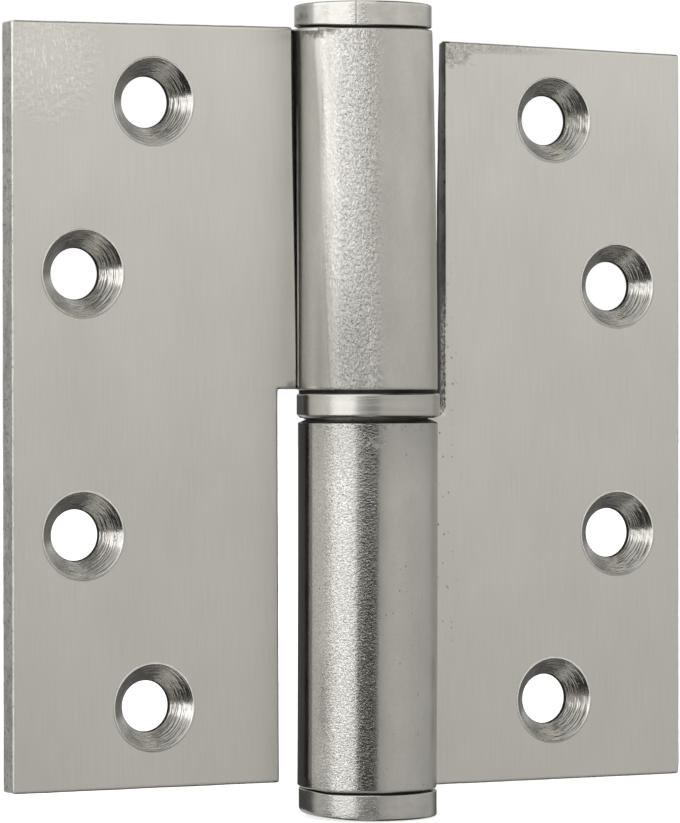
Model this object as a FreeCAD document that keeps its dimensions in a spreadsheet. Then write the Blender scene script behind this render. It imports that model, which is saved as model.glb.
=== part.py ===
import FreeCAD, Part
import math
import os
import Sketcher

# Lift-off hinge in 3 mm stainless sheet, drawn open flat.
# Frame: +Z up along the pin, X across both leaves, countersunk faces towards -Y.
# The origin is on the pin axis, half way between the outer faces of the two end caps.
# All lengths are millimetres.

doc = FreeCAD.newDocument("lift_off_hinge")

# ---------------------------------------------------------------- driving sizes
SIZES = [
    ("leaf_height", 89.0),          # height of each leaf
    ("axis_to_edge", 44.5),         # pin axis to the outer edge of a leaf
    ("leaf_thickness", 3.0),
    ("leaf_set_back", 2.0),         # countersunk face lies this far behind the pin axis
    ("outer_corner", 0.35),         # rounding of the leaf's corners
    ("cut_corner", 0.3),            # rounding of the far end of the cut-out's edge
    ("upper_inner_corner", 0.15),   # hollow corner of each cut-out
    ("lower_inner_corner", 1.8),
    ("roll_outer", 8.3),            # outer radius of the rolled knuckles
    ("roll_bore", 5.3),             # bore radius of the rolled knuckles
    ("upper_leaf_top", 45.15),
    ("lower_leaf_bottom", -44.9),
    ("upper_cut_edge", 10.6),       # axis to the edge of the upper leaf's cut-out
    ("lower_cut_edge", 11.6),       # axis to the edge of the lower leaf's cut-out
    ("upper_step", 2.56),           # height of the horizontal edge of each cut-out
    ("lower_step", -0.5),
    ("upper_roll_bottom", 2.45),
    ("lower_roll_top", -1.0),
    ("punch_break_back", 0.95),     # punched edge of the cut-out leans back
    ("punch_break_face", 2.3),
    ("roll_end_bevel", 0.22),
    ("bearing_bevel_r", 1.0),       # bevel on the lower knuckle under the ring
    ("bearing_bevel_z", 0.65),
    ("far_screw_x", 26.7),          # screws nearer the pin, top and bottom pair
    ("mid_screw_x", 35.65),         # screws nearer the outer edge, middle pair
    ("far_screw_half", 35.25),
    ("mid_screw_half", 15.15),
    ("upper_screw_mid", 0.85),
    ("lower_screw_mid", 0.05),
    ("screw_hole", 3.0),            # radius
    ("sink_mouth", 5.0),            # radius of the countersink at the face
    ("sink_depth", 2.5),
    ("seam_notch", 8.75),           # the leaf's face stops here, beside the rolled end
    ("seam_width", 0.15),
    ("swage_x", 7.94),
    ("pin_fit_radius", 5.22),       # running part of the pin, in the upper knuckle
    ("pin_bottom", -42.6),
    ("pin_top", 42.1),
    ("pin_nose", 1.0),
    ("cap_stem", 2.2),
    ("cap_gap", 0.2),
    ("cap_shoulder", 7.5),
    ("top_cap_radius", 8.15),
    ("top_cap_face", 47.95),
    ("top_cap_bevel", 0.15),
    ("bottom_cap_radius", 8.2),
    ("bottom_cap_face", -47.95),
    ("bottom_cap_round", 0.4),
    ("ring_radius", 8.5),
    ("ring_top", 2.05),
    ("ring_bottom", -0.85),
    ("ring_land_radius", 8.1),
    ("ring_skirt_inner", 7.75),
    ("ring_bevel", 0.25),
    ("race_bore", 5.5),
    ("race_ceiling", 1.1),
    ("race_floor", 0.0),
    ("washer_outer", 7.45),
    ("ball_pitch", 6.45),
    ("ball_radius", 0.65),
    ("ball_height", 0.55),
    ("groove_radius", 0.75),
    ("cage_inner", 5.75),
    ("cage_outer", 7.2),
    ("cage_half", 0.3),
    ("cage_pocket", 0.74),
    ("ball_count", 14),
]
sheet = doc.addObject("Spreadsheet::Sheet", "dims")
for i, (alias, value) in enumerate(SIZES):
    cell = "B%d" % (i + 1)
    sheet.set("A%d" % (i + 1), alias)
    sheet.set(cell, str(value))
    sheet.setAlias(cell, alias)
doc.recompute()

POINT = {}


def plane(body, role):
    for feature in body.Origin.OriginFeatures:
        if feature.Role == role:
            return feature
    raise RuntimeError("no plane " + role)


def new_body(label):
    body = doc.addObject("PartDesign::Body", label)
    body.Label = label
    return body


def new_sketch(body, name, role, offset=None):
    """A sketch on one of the body's own origin planes, shifted along the plane's normal by an expression."""
    sk = body.newObject("Sketcher::SketchObject", name)
    sk.AttachmentSupport = [(plane(body, role), "")]
    sk.MapMode = "FlatFace"
    if offset is not None:
        sk.setExpression("AttachmentOffset.Base.z", offset)
    return sk


def val(expr):
    """Value of an expression of the sheet's aliases, for the first position of a sketch point."""
    names = {"dims_" + a: float(v) for a, v in SIZES}
    text = expr.replace("dims.", "dims_")
    total = 0.0
    for term in text.replace("-", "+-").split("+"):
        term = term.strip()
        if not term:
            continue
        sign = 1.0
        if term.startswith("-"):
            sign, term = -1.0, term[1:].strip()
        number = 1.0
        for factor in term.split("*"):
            factor = factor.strip()
            number *= names[factor] if factor in names else float(factor)
        total += sign * number
    return total


def polygon(sk, points):
    """Closed polygon whose corners are each held by two distances from the origin."""
    xy = [(val(a), val(b)) for a, b in points]
    n = len(xy)
    first = sk.GeometryCount
    for i in range(n):
        a, b = xy[i], xy[(i + 1) % n]
        sk.addGeometry(Part.LineSegment(FreeCAD.Vector(a[0], a[1], 0), FreeCAD.Vector(b[0], b[1], 0)), False)
    for i in range(n):
        sk.addConstraint(Sketcher.Constraint("Coincident", first + i, 2, first + (i + 1) % n, 1))
    for i in range(n):
        for kind, value, expr in (("DistanceX", xy[i][0], points[i][0]), ("DistanceY", xy[i][1], points[i][1])):
            c = sk.addConstraint(Sketcher.Constraint(kind, -1, 1, first + i, 1, value))
            sk.setExpression("Constraints[%d]" % c, expr)


def circle(sk, x, y, r):
    g = sk.addGeometry(Part.Circle(FreeCAD.Vector(val(x), val(y), 0), FreeCAD.Vector(0, 0, 1), val(r)), False)
    for kind, value, expr in (("DistanceX", val(x), x), ("DistanceY", val(y), y)):
        c = sk.addConstraint(Sketcher.Constraint(kind, -1, 1, g, 3, value))
        sk.setExpression("Constraints[%d]" % c, expr)
    c = sk.addConstraint(Sketcher.Constraint("Radius", g, val(r)))
    sk.setExpression("Constraints[%d]" % c, r)


def pad(body, name, sk, length, reverse=False):
    f = body.newObject("PartDesign::Pad", name)
    f.Profile = sk
    f.Reversed = reverse
    f.setExpression("Length", length)
    body.Tip = f
    doc.recompute()
    return f


def pocket(body, name, sk, length=None, reverse=False, taper=None):
    before = body.Shape.Volume
    f = body.newObject("PartDesign::Pocket", name)
    f.Profile = sk
    f.Reversed = reverse
    if length is None:
        f.Type = "ThroughAll"
    else:
        f.setExpression("Length", length)
    if taper is not None:
        f.setExpression("TaperAngle", taper)
    body.Tip = f
    doc.recompute()
    if not body.Shape.Volume < before - 1e-6:
        raise RuntimeError(name + " cuts nothing")
    print(body.Label, name, "removed", round(before - body.Shape.Volume, 3))
    return f


def turned(body, name, sk, kind="PartDesign::Revolution"):
    before = body.Shape.Volume if kind == "PartDesign::Groove" else 0.0
    f = body.newObject(kind, name)
    f.Profile = sk
    f.ReferenceAxis = (sk, ["V_Axis"])
    f.Angle = 360.0
    body.Tip = f
    doc.recompute()
    if kind == "PartDesign::Groove":
        if not body.Shape.Volume < before - 1e-6:
            raise RuntimeError(name + " cuts nothing")
        print(body.Label, name, "removed", round(before - body.Shape.Volume, 3))
    return f


def edges_where(shape, test):
    return ["Edge%d" % (i + 1) for i, e in enumerate(shape.Edges) if test(e)]


def upright_y(e, x, z, tol=0.02):
    """True for an edge that runs through the sheet, along Y, at that x and z."""
    if len(e.Vertexes) != 2:
        return False
    a, b = e.Vertexes[0].Point, e.Vertexes[1].Point
    return all(abs(p.x - x) < tol and abs(p.z - z) < tol for p in (a, b)) and abs(a.y - b.y) > 0.5


def dress(body, kind, name, base, edges, **sizes):
    if not edges:
        raise RuntimeError(name + " found no edge")
    f = body.newObject(kind, name)
    f.Base = (base, edges)
    for prop, expr in sizes.items():
        if isinstance(expr, str) and expr.startswith("dims."):
            f.setExpression(prop, expr)
        else:
            setattr(f, prop, expr)
    body.Tip = f
    doc.recompute()
    return f


# ---------------------------------------------------------------- the two leaves
def make_leaf(label, side, low, high, step, cut, hollow, roll_low, roll_high, mid, roll_above):
    """One leaf and its rolled knuckle, from one piece of sheet.
    side is - for the leaf that lies towards -X and + for the other. The flat is cut back beside the other leaf's knuckle.
    roll_above is True where the knuckle is at the leaf's upper half."""
    body = new_body(label)
    s = "-" if side < 0 else ""
    o = "" if side < 0 else "-"

    # flat of the leaf, seen from the front: an L, full height outside the cut-out
    sk = new_sketch(body, label + "_outline", "XZ_Plane", "-dims.leaf_set_back")
    near = s + "9.0"
    if roll_above:
        pts = [(s + "dims.axis_to_edge", low), (s + cut, low), (s + cut, step), (near, step), (near, high), (s + "dims.axis_to_edge", high)]
    else:
        pts = [(s + "dims.axis_to_edge", low), (near, low), (near, step), (s + cut, step), (s + cut, high), (s + "dims.axis_to_edge", high)]
    polygon(sk, pts)
    flat = pad(body, label + "_flat", sk, "dims.leaf_thickness", True)
    x_out = side * val("dims.axis_to_edge")
    x_cut = side * val(cut)
    z_end = val(low) if roll_above else val(high)
    f = dress(body, "PartDesign::Fillet", label + "_corners", flat,
              edges_where(flat.Shape, lambda e: upright_y(e, x_out, val(low)) or upright_y(e, x_out, val(high))),
              Radius="dims.outer_corner")
    f = dress(body, "PartDesign::Fillet", label + "_cut_corner", f,
              edges_where(f.Shape, lambda e: upright_y(e, x_cut, z_end)), Radius="dims.cut_corner")
    f = dress(body, "PartDesign::Fillet", label + "_step_corner", f,
              edges_where(f.Shape, lambda e: upright_y(e, x_cut, val(step))), Radius=hollow)
    if not roll_above:
        # the punched edge leans back towards the rear face
        back = "dims.leaf_set_back + dims.leaf_thickness"
        sk = new_sketch(body, label + "_punch_profile", "XY_Plane", high)
        polygon(sk, [(cut + " - 0.5", back + " + 0.5"), (cut + " - 0.5", back + " - dims.punch_break_face"), (cut, back + " - dims.punch_break_face"),
                     (cut + " + dims.punch_break_back", back), (cut + " + dims.punch_break_back", back + " + 0.5")])
        pocket(body, label + "_punch_break", sk, high + " - (" + step + ") - " + hollow)

    # the sheet is swaged back from the flat so that it can roll round the pin from behind
    length = roll_high + " - " + roll_low if not roll_low.startswith("-") else roll_high + " + " + roll_low[1:]
    flush_low = step if roll_above else low
    flush_high = high if roll_above else roll_high
    sk = new_sketch(body, label + "_swage_profile", "XY_Plane", flush_low)
    polygon(sk, [(s + "9.2", "dims.leaf_set_back"), (s + "8.0", "dims.leaf_set_back"), (s + "6.32", "2.47"), (s + "2.65", "4.59"),
                 (s + "2.4", "6.4"), (s + "4.15", "7.188"), (s + "dims.swage_x", "dims.leaf_set_back + dims.leaf_thickness"),
                 (s + "9.2", "dims.leaf_set_back + dims.leaf_thickness")])
    pad(body, label + "_swage", sk, flush_high + " - (" + flush_low + ")")

    # notch beside the roll, where the sheet's face stops short of the rolled end
    sk = new_sketch(body, label + "_notch_profile", "XY_Plane", flush_low)
    polygon(sk, [(s + "dims.seam_notch", "1.9"), (s + "8.62", "2.15"), (s + "8.05", "3.35"), (s + "7.3", "3.35"), (s + "7.3", "1.9")])
    pocket(body, label + "_notch", sk, flush_high + " - (" + flush_low + ")", True)

    # the roll
    sk = new_sketch(body, label + "_roll_profile", "XY_Plane", roll_low)
    circle(sk, "0", "0", "dims.roll_outer")
    pad(body, label + "_roll", sk, roll_high + " - (" + roll_low + ")")
    sk = new_sketch(body, label + "_bore_profile", "XY_Plane", roll_low)
    circle(sk, "0", "0", "dims.roll_bore")
    pocket(body, label + "_bore", sk, roll_high + " - (" + roll_low + ")", True)

    # seam where the end of the roll meets the sheet
    sk = new_sketch(body, label + "_seam_profile", "XY_Plane", roll_low)
    polygon(sk, [(s + "8.2", "3.33"), (s + "8.2", "3.33 - dims.seam_width"), (s + "4.5", "2.35"), (s + "4.5", "2.35 + dims.seam_width")])
    pocket(body, label + "_seam", sk, roll_high + " - (" + roll_low + ")", True)

    # bevels on the ends of the roll
    sk = new_sketch(body, label + "_bevel_profiles", "XZ_Plane")
    if roll_above:
        polygon(sk, [("dims.roll_outer - dims.roll_end_bevel", roll_high), ("dims.roll_outer + 0.02", roll_high), ("dims.roll_outer + 0.02", roll_high + " - dims.roll_end_bevel - 0.02")])
        polygon(sk, [("dims.roll_outer - dims.roll_end_bevel", roll_low), ("dims.roll_outer + 0.02", roll_low), ("dims.roll_outer + 0.02", roll_low + " + dims.roll_end_bevel + 0.02")])
    else:
        polygon(sk, [("dims.roll_outer - dims.bearing_bevel_r", roll_high), ("dims.roll_outer + 0.02", roll_high), ("dims.roll_outer + 0.02", roll_high + " - dims.bearing_bevel_z")])
        polygon(sk, [("dims.roll_outer - dims.roll_end_bevel", roll_low), ("dims.roll_outer + 0.02", roll_low), ("dims.roll_outer + 0.02", roll_low + " + dims.roll_end_bevel + 0.02")])
    turned(body, label + "_bevels", sk, "PartDesign::Groove")

    # four screw holes, countersunk from the front: the outer pair stands nearer the pin
    places = [(s + "dims.far_screw_x", mid + " + dims.far_screw_half"), (s + "dims.far_screw_x", mid + " - dims.far_screw_half"),
              (s + "dims.mid_screw_x", mid + " + dims.mid_screw_half"), (s + "dims.mid_screw_x", mid + " - dims.mid_screw_half")]
    sk = new_sketch(body, label + "_hole_centres", "XZ_Plane", "-dims.leaf_set_back")
    for x, z in places:
        circle(sk, x, z, "dims.screw_hole")
    pocket(body, label + "_holes", sk, "dims.leaf_thickness")
    sk = new_sketch(body, label + "_sink_circles", "XZ_Plane", "-dims.leaf_set_back")
    for x, z in places:
        circle(sk, x, z, "dims.sink_mouth")
    pocket(body, label + "_sinks", sk, "dims.sink_depth", False, "-atan((dims.sink_mouth - dims.screw_hole) / dims.sink_depth)")
    return body


upper_leaf = make_leaf("upper_leaf", -1, "dims.upper_leaf_top - dims.leaf_height", "dims.upper_leaf_top", "dims.upper_step",
                       "dims.upper_cut_edge", "dims.upper_inner_corner", "dims.upper_roll_bottom", "dims.upper_leaf_top", "dims.upper_screw_mid", True)
lower_leaf = make_leaf("lower_leaf", 1, "dims.lower_leaf_bottom", "dims.lower_leaf_bottom + dims.leaf_height", "dims.lower_step",
                       "dims.lower_cut_edge", "dims.lower_inner_corner", "dims.lower_leaf_bottom", "dims.lower_roll_top", "dims.lower_screw_mid", False)

# ---------------------------------------------------------------- hinge pin
# pressed into the lower knuckle, and a running fit in the upper one
hinge_pin = new_body("hinge_pin")
sk = new_sketch(hinge_pin, "pin_profile", "XZ_Plane")
polygon(sk, [("0", "dims.pin_bottom"), ("dims.roll_bore - 0.5", "dims.pin_bottom"), ("dims.roll_bore", "dims.pin_bottom + 0.5"),
             ("dims.roll_bore", "dims.lower_roll_top"), ("dims.pin_fit_radius", "dims.lower_roll_top"),
             ("dims.pin_fit_radius", "dims.pin_top - dims.pin_nose"), ("dims.pin_fit_radius - dims.pin_nose", "dims.pin_top"), ("0", "dims.pin_top")])
turned(hinge_pin, "pin_turned", sk)

# ---------------------------------------------------------------- end caps
# a flat head over the end of the roll, with a stem pressed into the bore
top_cap = new_body("top_cap")
sk = new_sketch(top_cap, "top_cap_profile", "XZ_Plane")
polygon(sk, [("0", "dims.upper_leaf_top - dims.cap_stem"), ("dims.roll_bore - 0.4", "dims.upper_leaf_top - dims.cap_stem"),
             ("dims.roll_bore", "dims.upper_leaf_top - dims.cap_stem + 0.4"), ("dims.roll_bore", "dims.upper_leaf_top"),
             ("dims.cap_shoulder", "dims.upper_leaf_top"), ("dims.cap_shoulder", "dims.upper_leaf_top + dims.cap_gap"),
             ("dims.top_cap_radius - 0.12", "dims.upper_leaf_top + dims.cap_gap"), ("dims.top_cap_radius", "dims.upper_leaf_top + dims.cap_gap + 0.12"),
             ("dims.top_cap_radius", "dims.top_cap_face - dims.top_cap_bevel"),
             ("dims.top_cap_radius - dims.top_cap_bevel", "dims.top_cap_face"), ("0", "dims.top_cap_face")])
turned(top_cap, "top_cap_turned", sk)

bottom_cap = new_body("bottom_cap")
sk = new_sketch(bottom_cap, "bottom_cap_profile", "XZ_Plane")
polygon(sk, [("0", "dims.bottom_cap_face"), ("dims.bottom_cap_radius", "dims.bottom_cap_face"),
             ("dims.bottom_cap_radius", "dims.lower_leaf_bottom - dims.cap_gap - 0.12"), ("dims.bottom_cap_radius - 0.12", "dims.lower_leaf_bottom - dims.cap_gap"),
             ("dims.cap_shoulder", "dims.lower_leaf_bottom - dims.cap_gap"), ("dims.cap_shoulder", "dims.lower_leaf_bottom"),
             ("dims.roll_bore", "dims.lower_leaf_bottom"), ("dims.roll_bore", "dims.lower_leaf_bottom + dims.cap_stem - 0.4"),
             ("dims.roll_bore - 0.4", "dims.lower_leaf_bottom + dims.cap_stem"), ("0", "dims.lower_leaf_bottom + dims.cap_stem")])
cap_turned = turned(bottom_cap, "bottom_cap_turned", sk)
rim_z = val("dims.bottom_cap_face")
rim_r = val("dims.bottom_cap_radius")
dress(bottom_cap, "PartDesign::Fillet", "bottom_cap_rim", cap_turned,
      edges_where(cap_turned.Shape, lambda e: e.Curve.TypeId == "Part::GeomCircle" and abs(e.Curve.Radius - rim_r) < 0.01 and abs(e.Curve.Center.z - rim_z) < 0.01),
      Radius="dims.bottom_cap_round")

# ---------------------------------------------------------------- ball thrust bearing between the knuckles
# the shell is the visible ring: upper race and skirt in one
bearing_shell = new_body("bearing_shell")
sk = new_sketch(bearing_shell, "shell_profile", "XZ_Plane")
polygon(sk, [("dims.race_bore", "dims.race_ceiling"), ("dims.ring_skirt_inner", "dims.race_ceiling"), ("dims.ring_skirt_inner", "dims.ring_bottom"),
             ("dims.ring_radius - 0.5", "dims.ring_bottom"), ("dims.ring_radius", "dims.ring_bottom + dims.ring_bevel"),
             ("dims.ring_radius", "dims.ring_top - dims.ring_bevel"), ("dims.ring_radius - dims.ring_bevel", "dims.ring_top"),
             ("dims.ring_land_radius", "dims.ring_top"), ("dims.ring_land_radius", "dims.upper_roll_bottom"), ("dims.race_bore", "dims.upper_roll_bottom")])
turned(bearing_shell, "shell_turned", sk)
sk = new_sketch(bearing_shell, "upper_race_groove_profile", "XZ_Plane")
circle(sk, "dims.ball_pitch", "dims.ball_height", "dims.groove_radius")
turned(bearing_shell, "upper_race_groove", sk, "PartDesign::Groove")

bearing_washer = new_body("bearing_washer")
sk = new_sketch(bearing_washer, "washer_profile", "XZ_Plane")
polygon(sk, [("dims.race_bore", "dims.lower_roll_top"), ("dims.washer_outer - 0.15", "dims.lower_roll_top"), ("dims.washer_outer", "dims.lower_roll_top + 0.15"),
             ("dims.washer_outer", "dims.race_floor"), ("dims.race_bore", "dims.race_floor")])
turned(bearing_washer, "washer_turned", sk)
sk = new_sketch(bearing_washer, "lower_race_groove_profile", "XZ_Plane")
circle(sk, "dims.ball_pitch", "dims.ball_height", "dims.groove_radius")
turned(bearing_washer, "lower_race_groove", sk, "PartDesign::Groove")

ball_cage = new_body("ball_cage")
sk = new_sketch(ball_cage, "cage_profile", "XZ_Plane")
polygon(sk, [("dims.cage_inner", "dims.ball_height - dims.cage_half"), ("dims.cage_outer", "dims.ball_height - dims.cage_half"),
             ("dims.cage_outer", "dims.ball_height + dims.cage_half"), ("dims.cage_inner", "dims.ball_height + dims.cage_half")])
turned(ball_cage, "cage_ring", sk)
sk = new_sketch(ball_cage, "cage_pocket_profile", "XY_Plane", "dims.ball_height + dims.cage_half")
circle(sk, "dims.ball_pitch", "0", "dims.cage_pocket")
first_pocket = pocket(ball_cage, "cage_pocket_one", sk, "2 * dims.cage_half")
spread = ball_cage.newObject("PartDesign::PolarPattern", "cage_pockets")
spread.Originals = [first_pocket]
spread.Axis = (sk, ["N_Axis"])
spread.Angle = 360.0
spread.setExpression("Occurrences", "dims.ball_count")
ball_cage.Tip = spread
doc.recompute()

balls = []
count = int(val("dims.ball_count"))
for i in range(count):
    ball = doc.addObject("Part::Sphere", "ball_%02d" % (i + 1))
    ball.setExpression("Radius", "dims.ball_radius")
    ball.setExpression("Placement.Base.x", "dims.ball_pitch * cos(360 deg * %d / dims.ball_count)" % i)
    ball.setExpression("Placement.Base.y", "dims.ball_pitch * sin(360 deg * %d / dims.ball_count)" % i)
    ball.setExpression("Placement.Base.z", "dims.ball_height")
    balls.append(ball)
bearing_balls = doc.addObject("Part::Compound", "bearing_balls")
bearing_balls.Label = "bearing_balls"
bearing_balls.Links = balls
doc.recompute()

# ---------------------------------------------------------------- checks and files
parts = [upper_leaf, lower_leaf, hinge_pin, top_cap, bottom_cap, bearing_shell, bearing_washer, ball_cage, bearing_balls]
for obj in doc.Objects:
    if "Invalid" in obj.State or "Error" in obj.State:
        raise RuntimeError("failed object: %s %s" % (obj.Name, obj.State))
for obj in parts:
    shape = obj.Shape
    if shape.isNull() or not shape.isValid():
        raise RuntimeError("bad shape: " + obj.Label)
    wanted = count if obj is bearing_balls else 1
    if len(shape.Solids) != wanted:
        raise RuntimeError("%s has %d solids" % (obj.Label, len(shape.Solids)))

os.makedirs("parts", exist_ok=True)
for obj in parts:
    obj.Shape.exportStep("parts/%s.step" % obj.Label)
    box = obj.Shape.BoundBox
    print("%-15s volume %9.2f  x %.2f..%.2f  y %.2f..%.2f  z %.2f..%.2f" % (
        obj.Label, obj.Shape.Volume, box.XMin, box.XMax, box.YMin, box.YMax, box.ZMin, box.ZMax))
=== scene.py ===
import math
import bmesh
import bpy
import numpy as np
from mathutils import Matrix, Vector


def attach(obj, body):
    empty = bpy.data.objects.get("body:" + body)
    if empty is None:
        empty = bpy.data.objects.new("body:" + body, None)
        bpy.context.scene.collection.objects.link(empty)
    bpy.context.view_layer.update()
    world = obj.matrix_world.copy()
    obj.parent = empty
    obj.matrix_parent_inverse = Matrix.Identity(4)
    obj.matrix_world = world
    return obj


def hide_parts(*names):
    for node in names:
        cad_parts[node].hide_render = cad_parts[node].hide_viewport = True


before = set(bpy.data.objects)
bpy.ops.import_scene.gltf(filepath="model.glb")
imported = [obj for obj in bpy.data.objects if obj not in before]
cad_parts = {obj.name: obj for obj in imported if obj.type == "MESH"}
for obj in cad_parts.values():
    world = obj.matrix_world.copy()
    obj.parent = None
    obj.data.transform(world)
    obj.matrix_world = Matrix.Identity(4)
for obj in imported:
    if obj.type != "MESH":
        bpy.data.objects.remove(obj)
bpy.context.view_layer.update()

# Lift-off hinge, open flat. All mesh code below works in millimetres in the hinge's own frame:
# +Z up along the pin, X across the leaves, countersunk faces towards -Y.


# ------------------------------------------------------------------ noise and mesh helpers
def smooth(a, b, x):
    t = np.clip((np.asarray(x, float) - a) / (b - a), 0.0, 1.0)
    return t * t * (3 - 2 * t)


def noise2(x, y, seed):
    """Smooth lattice noise between -1 and 1."""
    table = np.random.RandomState(seed).rand(256, 256) * 2 - 1
    x, y = np.broadcast_arrays(np.asarray(x, float), np.asarray(y, float))
    xi, yi = np.floor(x).astype(int), np.floor(y).astype(int)
    u, v = x - xi, y - yi
    u, v = u * u * (3 - 2 * u), v * v * (3 - 2 * v)
    g = lambda a, b: table[a % 256, b % 256]
    return (g(xi, yi) * (1 - u) + g(xi + 1, yi) * u) * (1 - v) + (g(xi, yi + 1) * (1 - u) + g(xi + 1, yi + 1) * u) * v


class Build:
    """Collects points and faces of one closed solid."""

    def __init__(self):
        self.points, self.count, self.faces, self.mats = [], 0, [], []

    def add(self, pts):
        pts = np.asarray(pts, float)
        idx = np.arange(self.count, self.count + pts[..., 0].size).reshape(pts.shape[:-1])
        self.points.append(pts.reshape(-1, 3))
        self.count += idx.size
        return idx

    def all(self):
        return np.concatenate(self.points)

    def quads(self, idx, mat, mask=None, close=False):
        if close:
            idx = np.concatenate([idx, idx[:, :1]], axis=1)
        q = np.stack([idx[:-1, :-1], idx[:-1, 1:], idx[1:, 1:], idx[1:, :-1]], -1)
        q = q[mask] if mask is not None else q.reshape(-1, 4)
        m = np.broadcast_to(np.asarray(mat), idx[:-1, :-1].shape)
        m = m[mask] if mask is not None else m.reshape(-1)
        self.faces += q.tolist()
        self.mats += m.tolist()

    def fan(self, ring, centre, mat):
        n = len(ring)
        for i in range(n):
            self.faces.append([int(ring[i]), int(ring[(i + 1) % n]), int(centre)])
            self.mats.append(mat)

    def join_loops(self, a, b, mat):
        """Fills the strip between two closed loops that run side by side."""
        pts = self.all()
        a, b = list(a), list(b)
        pb = pts[b]
        j0 = int(np.argmin(((pb - pts[a[0]]) ** 2).sum(1)))
        j1 = int(np.argmin(((pb - pts[a[len(a) // 8]]) ** 2).sum(1)))
        if (j1 - j0) % len(b) > len(b) / 2:
            b = b[::-1]
            pb = pts[b]
            j0 = int(np.argmin(((pb - pts[a[0]]) ** 2).sum(1)))
        b = b[j0:] + b[:j0]
        a, b = a + a[:1], b + b[:1]
        pa, pb = pts[a], pts[b]
        mat_of = mat if callable(mat) else (lambda p: mat)
        i = j = 0
        na, nb = len(a) - 1, len(b) - 1
        while i < na or j < nb:
            if j == nb:
                step_a = True
            elif i == na:
                step_a = False
            else:
                step_a = ((pa[i + 1] - pb[j]) ** 2).sum() <= ((pb[j + 1] - pa[i]) ** 2).sum()
            if step_a:
                self.faces.append([int(a[i]), int(a[i + 1]), int(b[j])])
                i += 1
            else:
                self.faces.append([int(a[i]), int(b[j + 1]), int(b[j])])
                j += 1
            self.mats.append(int(mat_of(pts[self.faces[-1]].mean(0))))

    def join_round(self, a, b, cx, cz, mat):
        """The same for two loops round a hole, taken in step by their angle about its centre."""
        pts = self.all()

        def in_order(loop):
            p = pts[loop]
            ang = np.unwrap(np.arctan2(p[:, 2] - cz, p[:, 0] - cx))
            return (loop[::-1], ang[::-1]) if ang[-1] < ang[0] else (loop, ang)

        a, ta = in_order(list(a))
        b, tb = in_order(list(b))
        ta = ta - ta[0]
        rel = (tb + (np.arctan2(pts[b[0]][2] - cz, pts[b[0]][0] - cx) - tb[0]) - np.arctan2(pts[a[0]][2] - cz, pts[a[0]][0] - cx))
        rel = np.mod(rel, 2 * math.pi)
        k = int(np.argmin(rel))
        b = b[k:] + b[:k]
        tb = np.concatenate([rel[k:], rel[:k]])
        a, b = a + a[:1], b + b[:1]
        ta = np.append(ta, 2 * math.pi)
        tb = np.append(tb, tb[0] + 2 * math.pi)
        i = j = 0
        na, nb = len(a) - 1, len(b) - 1
        while i < na or j < nb:
            if i < na and (j == nb or ta[i + 1] <= tb[j + 1]):
                self.faces.append([int(a[i]), int(a[i + 1]), int(b[j])])
                i += 1
            else:
                self.faces.append([int(a[i]), int(b[j + 1]), int(b[j])])
                j += 1
            self.mats.append(mat)

    def make(self, name, materials, sharp=38):
        mesh = bpy.data.meshes.new(name)
        mesh.from_pydata((self.all() * 0.001).tolist(), [], self.faces)
        for m in materials:
            mesh.materials.append(m)
        mesh.polygons.foreach_set("material_index", np.array(self.mats, np.int32))
        bm = bmesh.new()
        bm.from_mesh(mesh)
        loose = [v for v in bm.verts if not v.link_faces]
        bmesh.ops.delete(bm, geom=loose, context="VERTS")
        bmesh.ops.recalc_face_normals(bm, faces=bm.faces[:])
        if bm.calc_volume(signed=True) < 0:
            bmesh.ops.reverse_faces(bm, faces=bm.faces[:])
        open_edges = sum(1 for e in bm.edges if len(e.link_faces) != 2)
        print(name, "faces", len(bm.faces), "open edges", open_edges, "volume mm3", round(bm.calc_volume() * 1e9, 1))
        bm.to_mesh(mesh)
        bm.free()
        mesh.polygons.foreach_set("use_smooth", np.ones(len(mesh.polygons), bool))
        mesh.set_sharp_from_angle(angle=math.radians(sharp))
        mesh.validate()
        obj = bpy.data.objects.new(name, mesh)
        bpy.context.scene.collection.objects.link(obj)
        wn = obj.modifiers.new("even_shading", "WEIGHTED_NORMAL")
        wn.keep_sharp = True
        wn.weight = 60
        return obj


def loops_of(idx, mask):
    """Border loops of the kept cells of a grid, each as a list of point numbers."""
    rows, cols = mask.shape
    nxt = {}
    for i, j in zip(*np.nonzero(mask)):
        ring = ((i, j), (i, j + 1), (i + 1, j + 1), (i + 1, j))
        beside = ((i - 1, j), (i, j + 1), (i + 1, j), (i, j - 1))
        for k in range(4):
            a, b = beside[k]
            if not (0 <= a < rows and 0 <= b < cols and mask[a, b]):
                nxt[ring[k]] = ring[(k + 1) % 4]
    loops = []
    while nxt:
        start = next(iter(nxt))
        loop, p = [], start
        while True:
            loop.append(int(idx[p]))
            p = nxt.pop(p)
            if p == start:
                break
        loops.append(loop)
    return loops


# ------------------------------------------------------------------ one leaf with its rolled knuckle
FRONT, BACK = 2.0, 5.0
ROLL_R, BORE_R = 8.3, 5.3


def around(x, y):
    """Angle round the pin in degrees: 0 at the hinge's right as it is usually seen, 90 towards the viewer, 180 at the left."""
    return np.degrees(np.arctan2(-0.452 * x - 0.892 * y, 0.892 * x - 0.452 * y)) % 360


def top_end(d):
    """The upper knuckle's end and the cap on it aren't quite square to the pin."""
    return -0.31 * np.sin(np.radians(d)) * smooth(150, 100, d) * (d < 180) + 0.15 * smooth(140, 165, d) * smooth(235, 195, d)


def low_end(d):
    return 0.3 * smooth(120, 155, d) * smooth(240, 200, d)


FACE, EDGE, SINK, ROLL, SHADE, CUT, BURR = range(7)


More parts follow.
